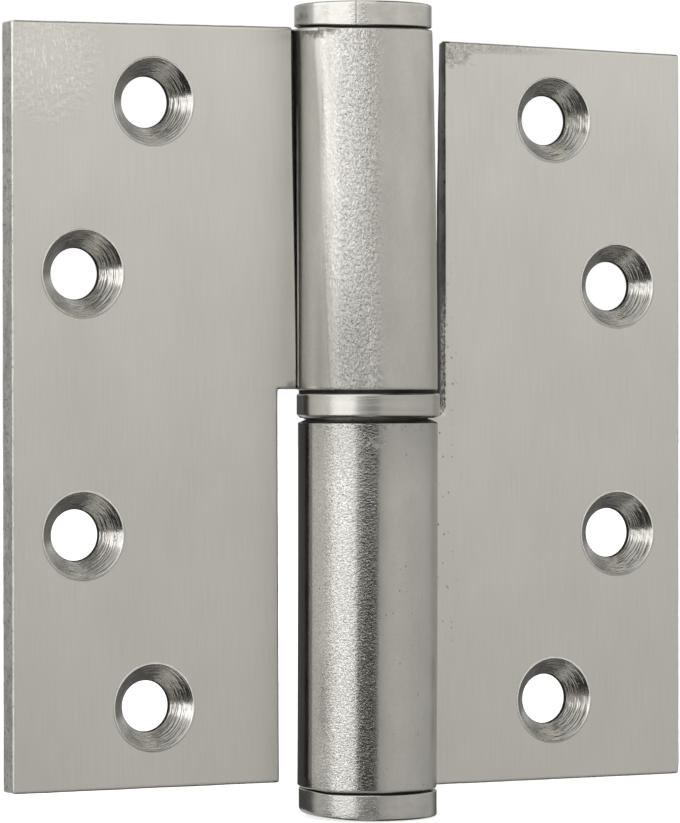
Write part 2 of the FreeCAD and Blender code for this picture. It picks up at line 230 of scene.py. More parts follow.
def leaf_solid(name, spec, materials):
    """Built with the knuckle at the high end and the leaf along +X, then turned into place.
    spec holds the leaf's own sizes; h is the height along the pin, counted towards the knuckle's end."""
    low, high, cut, step = spec["low"], spec["high"], spec["cut"], spec["step"]
    roll_low, mid, seed = spec["roll_low"], spec["mid"], spec["seed"]
    margin = 0.45
    b = Build()

    # the sheet's front, down into the notch, along the seam and round the bore; and its back, swaged and rolled
    root_front = [(9.3, 2.0), (9.05, 2.0), (8.93, 2.0), (8.85, 2.02), (8.80, 2.08), (8.755, 2.22), (8.58, 2.48), (8.41, 2.76), (8.25, 3.04), (8.11, 3.27),
                  (7.96, 3.36), (7.72, 3.34), (7.55, 3.20), (7.0, 3.06), (6.2, 2.88), (5.4, 2.70), (4.9, 2.59)]
    root_back = [(9.3, 5.0), (8.98, 5.0), (8.85, 5.0), (8.72, 5.003), (8.60, 5.012), (8.45, 5.03), (8.25, 5.06), (8.0, 5.12), (7.74, 5.20), (7.46, 5.31),
                 (7.15, 5.46), (6.8, 5.658), (6.4, 5.889), (5.95, 6.149), (5.5, 6.409), (5.0, 6.697), (4.5, 6.986)]
    end_in, end_out = 386.93, 381.7
    angles = np.concatenate([[60.0], np.arange(62.0, 380.0, 2.0), [end_out]])
    pair_in = angles + (end_in - end_out) * smooth(352.0, end_out, angles)
    lead = np.array([28.6, 36.0, 44.0, 52.0])
    lead_back = [(4.38, 7.055), (4.3, 7.10), (4.23, 7.14), (4.18, 7.17)]

    def circle(r, deg):
        return np.stack([r * np.cos(np.radians(deg)), r * np.sin(np.radians(deg))], -1)

    pair_front = np.concatenate([np.array(root_front), circle(BORE_R, lead), circle(BORE_R, pair_in)])
    pair_back = np.concatenate([np.array(root_back), np.array(lead_back), circle(ROLL_R, angles)])
    n_root = len(root_front) + len(lead)

    def play(xy, h, outer):
        """Small real unevenness of the roll: it leans and narrows a little towards its end, and has faint flats."""
        x, y = xy[..., 0], xy[..., 1]
        r = np.hypot(x, y)
        share = smooth(8.9, 8.0, np.abs(x))
        share = np.where((y > 2.4) & (x > 0), smooth(8.6, 6.4, x), share)
        q = np.clip((h - roll_low) / (high - roll_low), 0, 1) ** 2
        dr = -spec["narrow"] * q
        shift = spec["shift"][0] + (spec["shift"][1] - spec["shift"][0]) * q
        if outer:
            a = np.degrees(np.arctan2(y, x)) % 360
            flats = sum(w * np.sin(np.radians(k * a + p + 0.6 * h)) for k, w, p in spec["flats"])
            dr = dr + flats + spec["peel"](a, h)
        scale = 1 + share * dr / np.maximum(r, 1e-6)
        d = around(-x if spec["knuckle_up"] else x, y)
        end = share * smooth(high - 2.2, high, h)
        dh = end * (top_end(d) if spec["knuckle_up"] else -(0.2 + low_end(d)))
        return np.stack([x * scale + share * shift, y * scale, h + dh], -1)

    def notch_edge(xy, h):
        """The notch beside the roll leans towards the pin on its way to the cut-out."""
        x, y = xy[..., 0].copy(), xy[..., 1].copy()
        near = ((x > 7.5) & (x < 9.25) & (y < 3.5)).astype(float) * smooth(9.3, 8.85, x)
        return np.stack([x - near * spec["notch_taper"] * smooth(high, step, h), y], -1)

    def sheet_point(xy, h, outer):
        xy = np.asarray(xy, float)
        h = np.broadcast_to(np.asarray(h, float), xy.shape[:-1])
        if not outer:
            xy = notch_edge(xy, h)
        else:
            xy = xy.copy()
        return play(xy, h, outer)

    # ---- holes
    holes = [(26.7, mid + 35.25), (26.7, mid - 35.25), (35.65, mid + 15.15), (35.65, mid - 15.15)]

    def grid(flat_x, extra_xy, rows, outer, edge_x):
        y = BACK if outer else FRONT
        cols = np.concatenate([np.stack([flat_x, np.full(len(flat_x), y)], -1), extra_xy])
        pos = sheet_point(np.broadcast_to(cols[None], (len(rows), len(cols), 2)), rows[:, None], outer)
        idx = b.add(pos)
        cx = np.array([(cols[k, 0] + cols[k + 1, 0]) / 2 if k < len(flat_x) - 1 else -99.0 for k in range(len(cols) - 1)])
        ch = (rows[:-1] + rows[1:]) / 2
        mask = np.ones((len(rows) - 1, len(cols) - 1), bool)
        k_cut = int(np.argmin(np.abs(flat_x - edge_x)))
        n_flat = len(flat_x)
        mask[np.ix_(ch < step + margin, np.arange(len(cols) - 1) >= k_cut)] = False
        # round the pin, the sheet reaches a little lower than the leaf's step
        if outer:
            turned_in = np.arange(len(cols) - 1) >= n_flat + len(root_back) + 1
        else:
            turned_in = np.arange(len(cols) - 1) >= n_flat + 14
        mask[np.ix_((ch > roll_low + margin) & (ch < step + margin), turned_in)] = True
        mask[np.ix_(ch < roll_low + margin, np.arange(len(cols) - 1) >= n_flat)] = False
        for hx, hh in holes:
            mask[np.ix_(np.abs(ch - hh) < 6.2, np.abs(cx - hx) < 6.2)] = False
        return idx, mask, cx

    def across(edge_x):
        between = np.linspace(edge_x, 9.3, max(2, int(round((edge_x - 9.3) / 1.1)) + 1))[1:-1]
        return np.concatenate([np.linspace(44.5 - margin, edge_x, 33), between])

    front_x, back_x = across(cut + margin), across(cut + margin + spec["punch"])
    first, last = min(step, roll_low) + margin, max(step, roll_low) + margin
    lower_rows = np.concatenate([np.linspace(low + margin, first, 47)[:-1], [first]])
    front_rows = np.concatenate([lower_rows, np.linspace(last, high - margin, 46)])
    back_rows = np.concatenate([lower_rows, np.linspace(last, high - margin, spec["rows"])])
    front_extra = np.concatenate([np.array(root_front), circle(BORE_R, np.array([28.6, 34, 40])), circle(BORE_R, np.linspace(46, end_in - 5.0, 90))])
    back_angles = np.concatenate([np.linspace(60.0, 200.0, 56)[:-1], np.linspace(200.0, end_out - 3.2, spec["cols"])])
    back_extra = np.concatenate([np.array(root_back), np.array(lead_back)[:1], circle(ROLL_R, back_angles)])

    f_idx, f_mask, f_cx = grid(front_x, front_extra, front_rows, False, cut + margin)
    b_idx, b_mask, b_cx = grid(back_x, back_extra, back_rows, True, cut + margin + spec["punch"])
    # the face, the dark inside of the notch and the bore; and the face and the roll
    f_mat = np.zeros(f_mask.shape, int)
    f_mat[:, len(front_x) + 4:] = EDGE
    f_mat[:, len(front_x) + 10:] = SHADE
    f_mat[:, len(front_x) + len(root_front) + 2:] = EDGE
    b_mat = np.zeros(b_mask.shape, int)
    b_mat[:, len(back_x) + 8:] = ROLL
    b.quads(f_idx, f_mat, f_mask)
    b.quads(b_idx, b_mat, b_mask)

    # ---- the rim of the sheet: a closed row of stations, each with its front and back corner and its outward direction
    st_f, st_b, st_n, st_rf, st_rb, st_peak, st_bulge, st_mat = [], [], [], [], [], [], [], []

    def station(fx, bx, h, n, rf=0.19, rb=0.16, peak=0.5, bulge=0.0, hb=None, mat=1):
        st_f.append([*fx, h])
        st_b.append([*bx, h if hb is None else hb])
        st_n.append(n)
        st_rf.append(rf)
        st_rb.append(rb)
        st_peak.append(peak)
        st_bulge.append(bulge)
        st_mat.append(mat)

    def lean_at(h):
        """How far the punched edge of the cut-out leans by the time it reaches the back."""
        return (0.5 + 0.4 * min(max((-h - 24) / 20, 0.0), 1.0)) if spec["punch"] else 0.0

    def corner(cx, ch, r, a0, a1, steps, hollow=False, leaning=False, rf=0.19, mat=1):
        for a in np.radians(np.linspace(a0, a1, steps)):
            n = np.array([math.cos(a), math.sin(a)])
            p = np.array([cx, ch]) + r * n
            lean = lean_at(p[1]) * (abs(n[0]) if hollow else 1.0) if leaning else 0.0
            out = -n if hollow else n
            station((p[0], FRONT), (p[0] + lean, BACK), p[1], [out[0], 0, out[1]], rf=rf, rb=min(rf, 0.16), peak=0.233, bulge=lean * 0.233 * abs(n[0]), mat=mat)

    rc = 0.35
    gap = 0.5
    for h in np.arange(low + rc + gap, high - rc - 0.2, gap):
        station((44.5, FRONT), (44.5, BACK), h, [1, 0, 0])
    corner(44.5 - rc, high - rc, rc, 0, 90, 5)
    for x in np.arange(44.5 - rc - gap, 9.5, -gap):
        station((x, FRONT), (x, BACK), high, [0, 0, 1])
    for k in range(len(pair_front) - 1):
        d = around(*(pair_back[k] * (-1 if spec["knuckle_up"] else 1, 1)))
        worn_end = spec["roll_edge"] + 0.26 * float(smooth(42, 8, d)) * spec["knuckle_up"]
        station(pair_front[k], pair_back[k], high, [0, 0, 1], rb=worn_end if k > n_root else 0.16)
    # the rolled end, beside the seam
    fe_f, fe_b = circle(BORE_R, end_in), circle(ROLL_R, end_out)
    n_end = np.array([-0.219, 0.976])
    for a in np.radians([60, 30]):
        n = [n_end[0] * math.cos(a), n_end[1] * math.cos(a), math.sin(a)]
        station(fe_f - n_end * 0.1 * (1 - math.cos(a)), fe_b - n_end * 0.1 * (1 - math.cos(a)), high - 0.1 * (1 - math.sin(a)), n, mat=SHADE)
    for h in np.arange(high - 0.6, roll_low + 0.5, -gap):
        station(fe_f, fe_b, h, [n_end[0], n_end[1], 0], mat=SHADE)
    for a in np.radians([-30, -60]):
        n = [n_end[0] * math.cos(a), n_end[1] * math.cos(a), math.sin(a)]
        station(fe_f - n_end * 0.1 * (1 - math.cos(a)), fe_b - n_end * 0.1 * (1 - math.cos(a)), roll_low + 0.1 * (1 + math.sin(a)), n, hb=roll_low + spec["bevel_z"] + 0.1 * (1 + math.sin(a)), mat=SHADE)
    bevel = spec["bevel_z"]
    for k in range(len(pair_front) - 2, -1, -1):
        # the leaf's step lies a little above the end of the roll
        if k >= n_root:
            t = float(smooth(n_root + 4, n_root - 1, k))
        else:
            t = 1.0
        tf = 1.0 if k <= 9 else float(smooth(16, 9, k))
        hf = roll_low + (step - roll_low) * tf
        hb = roll_low + (step - roll_low) * t
        rolled = k > n_root + 2
        if step < roll_low:
            hf = hb = roll_low
            if k < 2:
                continue
        if rolled and bevel > 0:
            d = around(*pair_back[k])
            deep = bevel * (0.62 + 0.55 * float(smooth(172, 120, d)))
            station(pair_front[k], pair_back[k], hf, [0, 0, -1], rb=0.05, peak=0.667, bulge=deep * 0.667, hb=roll_low + deep, mat=CUT)
        else:
            station(pair_front[k], pair_back[k], hf, [0, 0, -1], hb=hb)
    if step < roll_low:
        # the flat of the leaf reaches a little past the end of the roll
        station((8.97, FRONT), (8.97, BACK), roll_low, [0, 0, -1], rf=0.12, rb=0.12)
        for h in np.arange(roll_low - 0.04, step + 0.14, -0.11):
            station((9.02, FRONT), (9.02, BACK), h, [-1, 0, 0], rf=0.12, rb=0.12)
        corner(9.12, step + 0.1, 0.1, 180, 270, 5, rf=0.09)
    hr, cr = spec["hollow"], 0.3
    for x in np.arange(9.4 if step < roll_low else 9.6, cut - hr - 0.05, 0.25):
        station((x, FRONT), (x, BACK), step, [0, 0, -1])
    corner(cut - hr, step - hr, hr, 90, 0, 12 if hr > 1 else 5, hollow=True, leaning=True, mat=CUT)
    for h in np.arange(step - hr - gap, low + cr + 0.2, -gap):
        lean = lean_at(h)
        station((cut, FRONT), (cut + lean, BACK), h, [-1, 0, 0], peak=0.233, bulge=lean * 0.233, mat=CUT)
    corner(cut + cr, low + cr, cr, 180, 270, 6, leaning=True, mat=CUT)
    for x in np.arange(cut + cr + gap, 44.5 - rc - 0.2, gap):
        station((x, FRONT), (x + lean_at(low) * float(smooth(cut + 5, cut + cr, x)), BACK), low, [0, 0, -1])
    corner(44.5 - rc, low + rc, rc, 270, 360, 5)

    sf, sb, sn = np.array(st_f), np.array(st_b), np.array(st_n, float)
    sn /= np.linalg.norm(sn, axis=1)[:, None]
    # unevenness of the sheared rim, always inwards
    along = np.concatenate([[0], np.cumsum(np.linalg.norm(np.diff(sf, axis=0), axis=1))])
    uneven = 0.018 * (noise2(along * 0.35, 0.5, seed) + 1) + 0.016 * (noise2(along * 1.7, 3.5, seed + 1) + 1) * spec["rough_rim"]
    rolled_end = (np.hypot(sb[:, 0], sb[:, 1]) < 8.4) & (sb[:, 2] > high - 0.5)
    uneven = np.where(rolled_end, 0.02 + 0.035 * (noise2(along * 0.9, 7.5, seed + 2) + 1), uneven)
    inner = (np.hypot(sf[:, 0], sf[:, 1]) < 7.9) & (sf[:, 2] < high - 0.5)
    uneven = np.where(inner, 0.004, uneven)
    if spec["worn_corner"]:
        worn = smooth(high - 1.6, high, sf[:, 2]) * (sf[:, 0] > 44.0)
        sf[:, 0] -= spec["worn_corner"] * worn
        sb[:, 0] -= spec["worn_corner"] * worn
    sf = sf - sn * uneven[:, None]
    sb = sb - sn * uneven[:, None]
    # positions on the sheet take the same unevenness as the sheet itself
    pf = sheet_point(sf[:, :2], sf[:, 2], False)
    pb = sheet_point(sb[:, :2], sb[:, 2], True)
    t = pb - pf
    t /= np.linalg.norm(t, axis=1)[:, None]
    n = sn - (sn * t).sum(1)[:, None] * t
    n /= np.linalg.norm(n, axis=1)[:, None]
    rf, rb = np.array(st_rf)[:, None], np.array(st_rb)[:, None]
    rim = []
    for a in np.radians([0, 22.5, 45, 67.5, 90]):
        rim.append(pf + rf * (1 - math.cos(a)) * t * 1.0 + rf * (math.sin(a) - 1) * n)
    peak, bulge = np.array(st_peak)[:, None], np.array(st_bulge)[:, None]
    for s in (0.14, 0.233, 0.4, 0.53, 0.667, 0.83):
        lift = np.where(s < peak, s / peak, (1 - s) / (1 - peak)) * bulge
        rough = 0.012 * noise2(along * 2.2, 11.0 + 5 * s, seed + 3)[:, None] - 0.012
        rim.append(pf + (pb - pf) * s + (lift + rough * (~inner[:, None])) * n)
    for a in np.radians([90, 67.5, 45, 22.5, 0]):
        rim.append(pb - rb * (1 - math.cos(a)) * t + rb * (math.sin(a) - 1) * n)
    rim_idx = b.add(np.array(rim))
    b.quads(rim_idx, np.array(st_mat)[None, :], close=True)

    # ---- screw holes, countersunk with a chattering cutter
    segs = 120
    ang = np.linspace(0, 2 * math.pi, segs, endpoint=False)
    hole_rims = []
    for k, (hx, hh) in enumerate(holes):
        rng = np.random.RandomState(seed * 10 + k)
        rings = [(5.32, FRONT), (5.14, FRONT), (5.10, FRONT - 0.016), (5.04, FRONT - 0.018), (5.0, FRONT + 0.012)]
        depth = np.linspace(0.035, 2.46, 44)
        r_of = lambda d: 5.0 - 0.8 * d
        pos = []
        for r, y in rings:
            pos.append(np.stack([hx + r * np.cos(ang), np.full(segs, y), hh + r * np.sin(ang)], -1))
        wobble = noise2(np.cos(ang) * 2 + 9, np.sin(ang) * 2 + 9, seed + 20 + k)
        phase = rng.rand() * 6.28
        ring_cuts = 0.0055 * rng.randn(len(depth))
        for i, d in enumerate(depth):
            fade = min(1.0, i / 3.0) * min(1.0, (len(depth) - 1 - i) / 2.0)
            chatter = 0.0035 * np.sin(ang * (17 + 3 * k) + i * 0.35 + phase)
            closed = smooth(0, 0.4, ang) * smooth(2 * math.pi, 2 * math.pi - 0.4, ang)
            streaks = (0.017 * noise2(ang * 2.2 + i * 0.13, np.full(segs, i * 0.93), seed + 40 + k) + 0.012 * noise2(ang * 5.0 + i * 0.2, np.full(segs, i * 1.7), seed + 50 + k)) * closed
            scratch = 0.030 * np.clip(noise2(ang * 1.1 + 40 + i * 0.07, np.full(segs, i * 0.41), seed + 60 + k) - 0.55, 0, 1) * closed
            off = fade * (ring_cuts[i] * (0.4 + 0.6 * smooth(-0.3, 0.5, wobble)) + chatter + streaks - scratch)
            r = r_of(d) - off * 0.78
            y = FRONT + d - off * 0.62
            pos.append(np.stack([hx + r * np.cos(ang), y, hh + r * np.sin(ang)], -1))
        for r, y in ((3.0, 4.52), (2.985, 4.66), (2.985, 4.84), (3.0, 4.93), (3.06, 4.985), (3.16, BACK), (3.35, BACK)):
            pos.append(np.stack([hx + r * np.cos(ang), np.full(segs, y), hh + r * np.sin(ang)], -1))
        h_idx = b.add(np.array(pos))
        # a light burr round the mouth, the cone, and the dark land at its bottom
        part = np.full(len(pos) - 1, SINK)
        part[1:4] = BURR
        part[len(rings) + len(depth) - 2:] = SHADE
        b.quads(h_idx, part[:, None], close=True)
        hole_rims.append((hx, hh, h_idx[0], h_idx[-1]))

    # ---- strips between the grids, the rim and the holes
    pts = b.all()
    for idx, mask, row, which in ((f_idx, f_mask, rim_idx[0], 2), (b_idx, b_mask, rim_idx[-1], 3)):
        found = loops_of(idx, mask)
        outer_loop = max(found, key=len)
        if which == 3:
            b.join_loops(outer_loop, row.tolist(), lambda p: ROLL if p[0] < 7.7 else FACE)
        else:
            b.join_loops(outer_loop, row.tolist(), lambda p: FACE if p[1] < 2.15 and p[0] > 8.0 else SHADE if p[0] > 7.0 else EDGE)
        for loop in found:
            if loop is outer_loop:
                continue
            c = pts[loop].mean(0)
            k = min(range(4), key=lambda i: (hole_rims[i][0] - c[0]) ** 2 + (hole_rims[i][1] - c[2]) ** 2)
            b.join_round(loop, hole_rims[k][which].tolist(), hole_rims[k][0], hole_rims[k][1], 0)

    # ---- the outline isn't quite square
    for p in b.points:
        x, h = p[:, 0].copy(), p[:, 2].copy()
        inside = smooth(8.0, 9.3, x)
        up, down = np.clip(h / 45.0, 0, 1) ** 2, np.clip(-h / 44.0, 0, 1) ** 2
        if spec["knuckle_up"]:
            p[:, 2] += inside * up * (0.21 - 0.44 * np.clip((x - 9.3) / 35.2, 0, 1))
            p[:, 0] += smooth(17, 11, x) * smooth(3, 1, h) * smooth(8.5, 9.5, x) * (0.03 - 0.15 * np.clip(-h / 44.0, 0, 1))
        else:
            p[:, 2] += inside * (down * (-0.29 + 0.57 * np.clip((x - 12.5) / 32.0, 0, 1)) + 0.1 * up)

    # ---- into place
    for p in b.points:
        if spec["knuckle_up"]:
            p[:, 0] *= -1
        else:
            p[:, 2] *= -1
    return b.make(name, materials)


# ------------------------------------------------------------------ turned pieces
def arc_points(cx, cz, r, a0, a1, n):
    return [(cx + r * math.cos(math.radians(a)), cz + r * math.sin(math.radians(a))) for a in np.linspace(a0, a1, n)]


def refine(profile, longest):
    out = [profile[0]]
    for p, q in zip(profile[:-1], profile[1:]):
        n = max(1, int(math.ceil(math.dist(p, q) / longest)))
        out += [(p[0] + (q[0] - p[0]) * k / n, p[1] + (q[1] - p[1]) * k / n) for k in range(1, n + 1)]
    return out


def turned(name, profile, materials, segs=256, shift=(0.0, 0.0), uneven=None, mat_of=None, sharp=38, closed=False):
    """A solid of revolution about the pin's axis. profile holds (r, z); a closed one makes a ring, an open one starts and ends on the axis."""
    b = Build()
    ang = np.linspace(0, 2 * math.pi, segs, endpoint=False)
    prof = np.array(profile, float)
    if not closed:
        ends = prof[0], prof[-1]
        prof = prof[1:-1]
    r, z = prof[:, 0][:, None] * np.ones(segs), prof[:, 1][:, None] * np.ones(segs)
    a = np.broadcast_to(ang, r.shape)
    if uneven is not None:
        dr, dz = uneven(r, a, z)
        r, z = r + dr, z + dz
    idx = b.add(np.stack([r * np.cos(a) + shift[0], r * np.sin(a) + shift[1], z], -1))
    mats = np.array([mat_of(*((prof[i] + prof[(i + 1) % len(prof)]) / 2)) if mat_of else 0 for i in range(len(prof))])
    if closed:
        loop = np.concatenate([idx, idx[:1]])
        b.quads(loop, mats[:, None], close=True)
    else:
        b.quads(idx, mats[:-1, None], close=True)
        for ring, end in ((idx[0], ends[0]), (idx[-1], ends[1])):
            c = b.add(np.array([[shift[0], shift[1], end[1]]]))
            b.fan(ring, c[0], 0)
    return b.make(name, materials, sharp)


# ------------------------------------------------------------------ materials
def new_material(name, colour, roughness, anisotropic=0.0, rotation=0.0):
    m = bpy.data.materials.new(name)
    m.use_nodes = True
    nt = m.node_tree
    bsdf = nt.nodes["Principled BSDF"]
    bsdf.inputs["Base Color"].default_value = (*colour, 1)
    bsdf.inputs["Metallic"].default_value = 1.0
    bsdf.inputs["Roughness"].default_value = roughness
    bsdf.inputs["Anisotropic"].default_value = anisotropic
    bsdf.inputs["Anisotropic Rotation"].default_value = rotation
    return m, nt, bsdf


class Nodes:
    """Short calls for building a node tree."""

    def __init__(self, nt):
        self.nt = nt

    def node(self, kind, **props):
        n = self.nt.nodes.new(kind)
        for k, v in props.items():
            setattr(n, k, v)
        return n

    def put(self, socket, value):
        if isinstance(value, bpy.types.NodeSocket):
            self.nt.links.new(value, socket)
        else:
            socket.default_value = value

    def coords(self, scale, offset=(0, 0, 0), turn=(0, 0, 0)):
        """Object coordinates counted in millimetres times scale."""
        if not hasattr(self, "base"):
            self.base = self.node("ShaderNodeTexCoord").outputs["Object"]
        mp = self.node("ShaderNodeMapping")
        mp.inputs["Scale"].default_value = tuple(1000.0 * s for s in scale)
        mp.inputs["Location"].default_value = offset
        mp.inputs["Rotation"].default_value = turn
        self.put(mp.inputs["Vector"], self.base)
        return mp.outputs["Vector"]

    def noise(self, scale, detail=2.0, roughness=0.5, offset=(0, 0, 0), turn=(0, 0, 0), distortion=0.0):
        n = self.node("ShaderNodeTexNoise")
        n.inputs["Scale"].default_value = 1.0
        n.inputs["Detail"].default_value = detail
        n.inputs["Roughness"].default_value = roughness
        n.inputs["Distortion"].default_value = distortion
        self.put(n.inputs["Vector"], self.coords(scale, offset, turn))
        return n.outputs["Fac"]

    def dots(self, scale, offset=(0, 0, 0)):
        n = self.node("ShaderNodeTexVoronoi")
        n.inputs["Scale"].default_value = 1.0
        n.inputs["Randomness"].default_value = 1.0
        self.put(n.inputs["Vector"], self.coords(scale, offset))
        return n.outputs["Distance"], n.outputs["Color"]

    def range(self, value, a, b, c=0.0, d=1.0, soft=False):
        n = self.node("ShaderNodeMapRange")
        n.interpolation_type = "SMOOTHSTEP" if soft else "LINEAR"
        n.clamp = True
        self.put(n.inputs["Value"], value)
        for k, v in zip(("From Min", "From Max", "To Min", "To Max"), (a, b, c, d)):
            n.inputs[k].default_value = v
        return n.outputs["Result"]

    def math(self, op, a, b=None):
        n = self.node("ShaderNodeMath", operation=op)
        self.put(n.inputs[0], a)
        if b is not None:
            self.put(n.inputs[1], b)
        return n.outputs["Value"]

    def split(self, offset=(0, 0, 0), scale=(1, 1, 1)):
        n = self.node("ShaderNodeSeparateXYZ")
        self.put(n.inputs[0], self.coords(scale, offset))
        return n.outputs["X"], n.outputs["Y"], n.outputs["Z"]

    def mix_colour(self, fac, a, b):
        n = self.node("ShaderNodeMix", data_type="RGBA")
        self.put(n.inputs[0], fac)
        self.put(n.inputs[6], a if isinstance(a, bpy.types.NodeSocket) else (*a, 1))
        self.put(n.inputs[7], b if isinstance(b, bpy.types.NodeSocket) else (*b, 1))
        return n.outputs[2]

    def bump(self, height, distance, strength=1.0, normal=None):
        n = self.node("ShaderNodeBump")
        n.inputs["Strength"].default_value = strength
        n.inputs["Distance"].default_value = distance * 0.001
        self.put(n.inputs["Height"], height)
        if normal is not None:
            self.put(n.inputs["Normal"], normal)
        return n.outputs["Normal"]

    def blob(self, centre, radii, soft=0.6, ragged=0.25, seed=0.0):
        """1 inside a ragged patch round a point of the surface, given in millimetres, and 0 outside."""
        n = self.node("ShaderNodeVectorMath", operation="LENGTH")
        self.put(n.inputs[0], self.coords(tuple(1.0 / r for r in radii), tuple(-c / r for c, r in zip(centre, radii))))
        grain = self.noise((1.6, 1.6, 1.6), 3.0, 0.6, (seed, seed, 0))
        d = self.math("ADD", n.outputs["Value"], self.range(grain, 0.2, 0.8, -ragged, ragged))
        return self.range(d, 1.0, 1.0 - soft, 0.0, 1.0, True)


STEEL = (0.70, 0.687, 0.649)
STEEL_DARK = (0.612, 0.60, 0.565)
ROLLED = (0.56, 0.548, 0.516)
ROLLED_DARK = (0.505, 0.494, 0.463)


def joined(k, *masks):
    out = masks[0]
    for m in masks[1:]:
        out = k.math("MAXIMUM", out, m)
    return out


def face_material(name, upper):
    """The flat of a leaf: brushed upright, with the marks of handling and grinding; the upper leaf also has a patch of
    painted shade where its notch ends.
    """
    m, nt, bsdf = new_material(name, STEEL, 0.34, 0.7, 0.0)
    k = Nodes(nt)
    x, y, z = k.split()
    streak = k.noise((5.0, 5.0, 0.16), 3.0, 0.6)
    fine = k.noise((13.0, 13.0, 0.8), 2.0, 0.55, (3, 1, 7))
    cloud = k.noise((0.10, 0.10, 0.06), 2.0, 0.5, (5, 2, 1))
    tone = k.math("ADD", k.math("MULTIPLY", streak, 0.5), k.math("MULTIPLY", cloud, 0.5))
    colour = k.mix_colour(k.range(tone, 0.30, 0.70), STEEL_DARK, STEEL)
    front = k.range(y, 2.6, 2.3)
    nrm = k.bump(streak, 0.009, 1.0)
    nrm = k.bump(fine, 0.004, 1.0, nrm)
    if upper:
        # heavier upright strokes at the outer top corner
        corner = k.math("MULTIPLY", k.blob((-40.0, 2.0, 40.6), (7.5, 4.0, 8.5), 0.8, 0.3), front)
        strokes = k.noise((4.6, 4.6, 0.95), 3.0, 0.6, (8, 1, 2))
        nrm = k.bump(k.math("MULTIPLY", strokes, corner), 0.038, 1.0, nrm)
        dashes = k.math("MULTIPLY", k.range(strokes, 0.54, 0.66, 0.0, 1.0, True), corner)
        colour = k.mix_colour(k.math("MULTIPLY", corner, 0.35), colour, (0.78, 0.766, 0.725))
        colour = k.mix_colour(k.math("MULTIPLY", dashes, 0.65), colour, (1.0, 0.985, 0.94))
        # painted shade: a dark patch where the notch ends, just above the step
        notch_end_shade = k.blob((-8.8, 2.0, 2.9), (1.5, 2.0, 0.8), 0.9, 0.4, 3.0)
        dark = k.math("MULTIPLY", notch_end_shade, 0.55)
    else:
        # grinding marks at the inner top corner and along the top edge, and pits beside the cut edge
        corner = k.math("MULTIPLY", k.blob((13.2, 2.0, 43.2), (3.0, 3.0, 2.3), 0.8, 0.45), front)
        edge_band = k.math("MULTIPLY", k.range(z, 42.9, 43.9, 0.0, 1.0, True), k.range(x, 30.0, 18.0, 0.0, 1.0, True))
        rough_place = joined(k, corner, k.math("MULTIPLY", edge_band, 0.85))
        grind = k.noise((2.6, 2.6, 1.7), 4.0, 0.7, (2, 7, 1), distortion=0.6)
        nrm = k.bump(k.math("MULTIPLY", grind, rough_place), 0.08, 1.0, nrm)
        dashes = k.math("MULTIPLY", k.range(k.noise((3.0, 3.0, 0.7), 3.0, 0.6, (1, 4, 2)), 0.57, 0.66, 0.0, 1.0, True), rough_place)
        colour = k.mix_colour(k.math("MULTIPLY", dashes, 0.8), colour, (1.0, 0.985, 0.94))
        spots, tint = k.dots((1.7, 1.7, 1.25), (0.3, 0.0, 0.6))
        few = k.node("ShaderNodeSeparateColor")
        k.put(few.inputs[0], tint)
        chosen = k.range(few.outputs["Red"], 0.52, 0.56)
        near_cut = k.math("MULTIPLY", k.range(x, 14.0, 12.4, 0.0, 1.0, True), k.math("MULTIPLY", k.range(z, 24.0, 4.0, 0.25, 1.0), k.range(z, -34.0, -14.0, 0.25, 1.0)))
        stray = k.math("MULTIPLY", k.range(few.outputs["Green"], 0.94, 0.96), 0.5)
        pit = k.math("MULTIPLY", k.math("MULTIPLY", k.range(spots, 0.17, 0.07, 0.0, 1.0, True), joined(k, k.math("MULTIPLY", chosen, near_cut), stray)), front)
        nrm = k.bump(pit, -0.05, 1.0, nrm)
        ground = k.math("MULTIPLY", k.range(grind, 0.55, 0.40), rough_place)
        dark = k.math("MULTIPLY", joined(k, pit, k.math("MULTIPLY", ground, 0.75)), 0.75)
    k.put(bsdf.inputs["Base Color"], k.mix_colour(dark, colour, (0.16, 0.155, 0.145)))
    k.put(bsdf.inputs["Roughness"], k.range(fine, 0.25, 0.75, 0.28, 0.37))
    k.put(bsdf.inputs["Normal"], nrm)
    return m


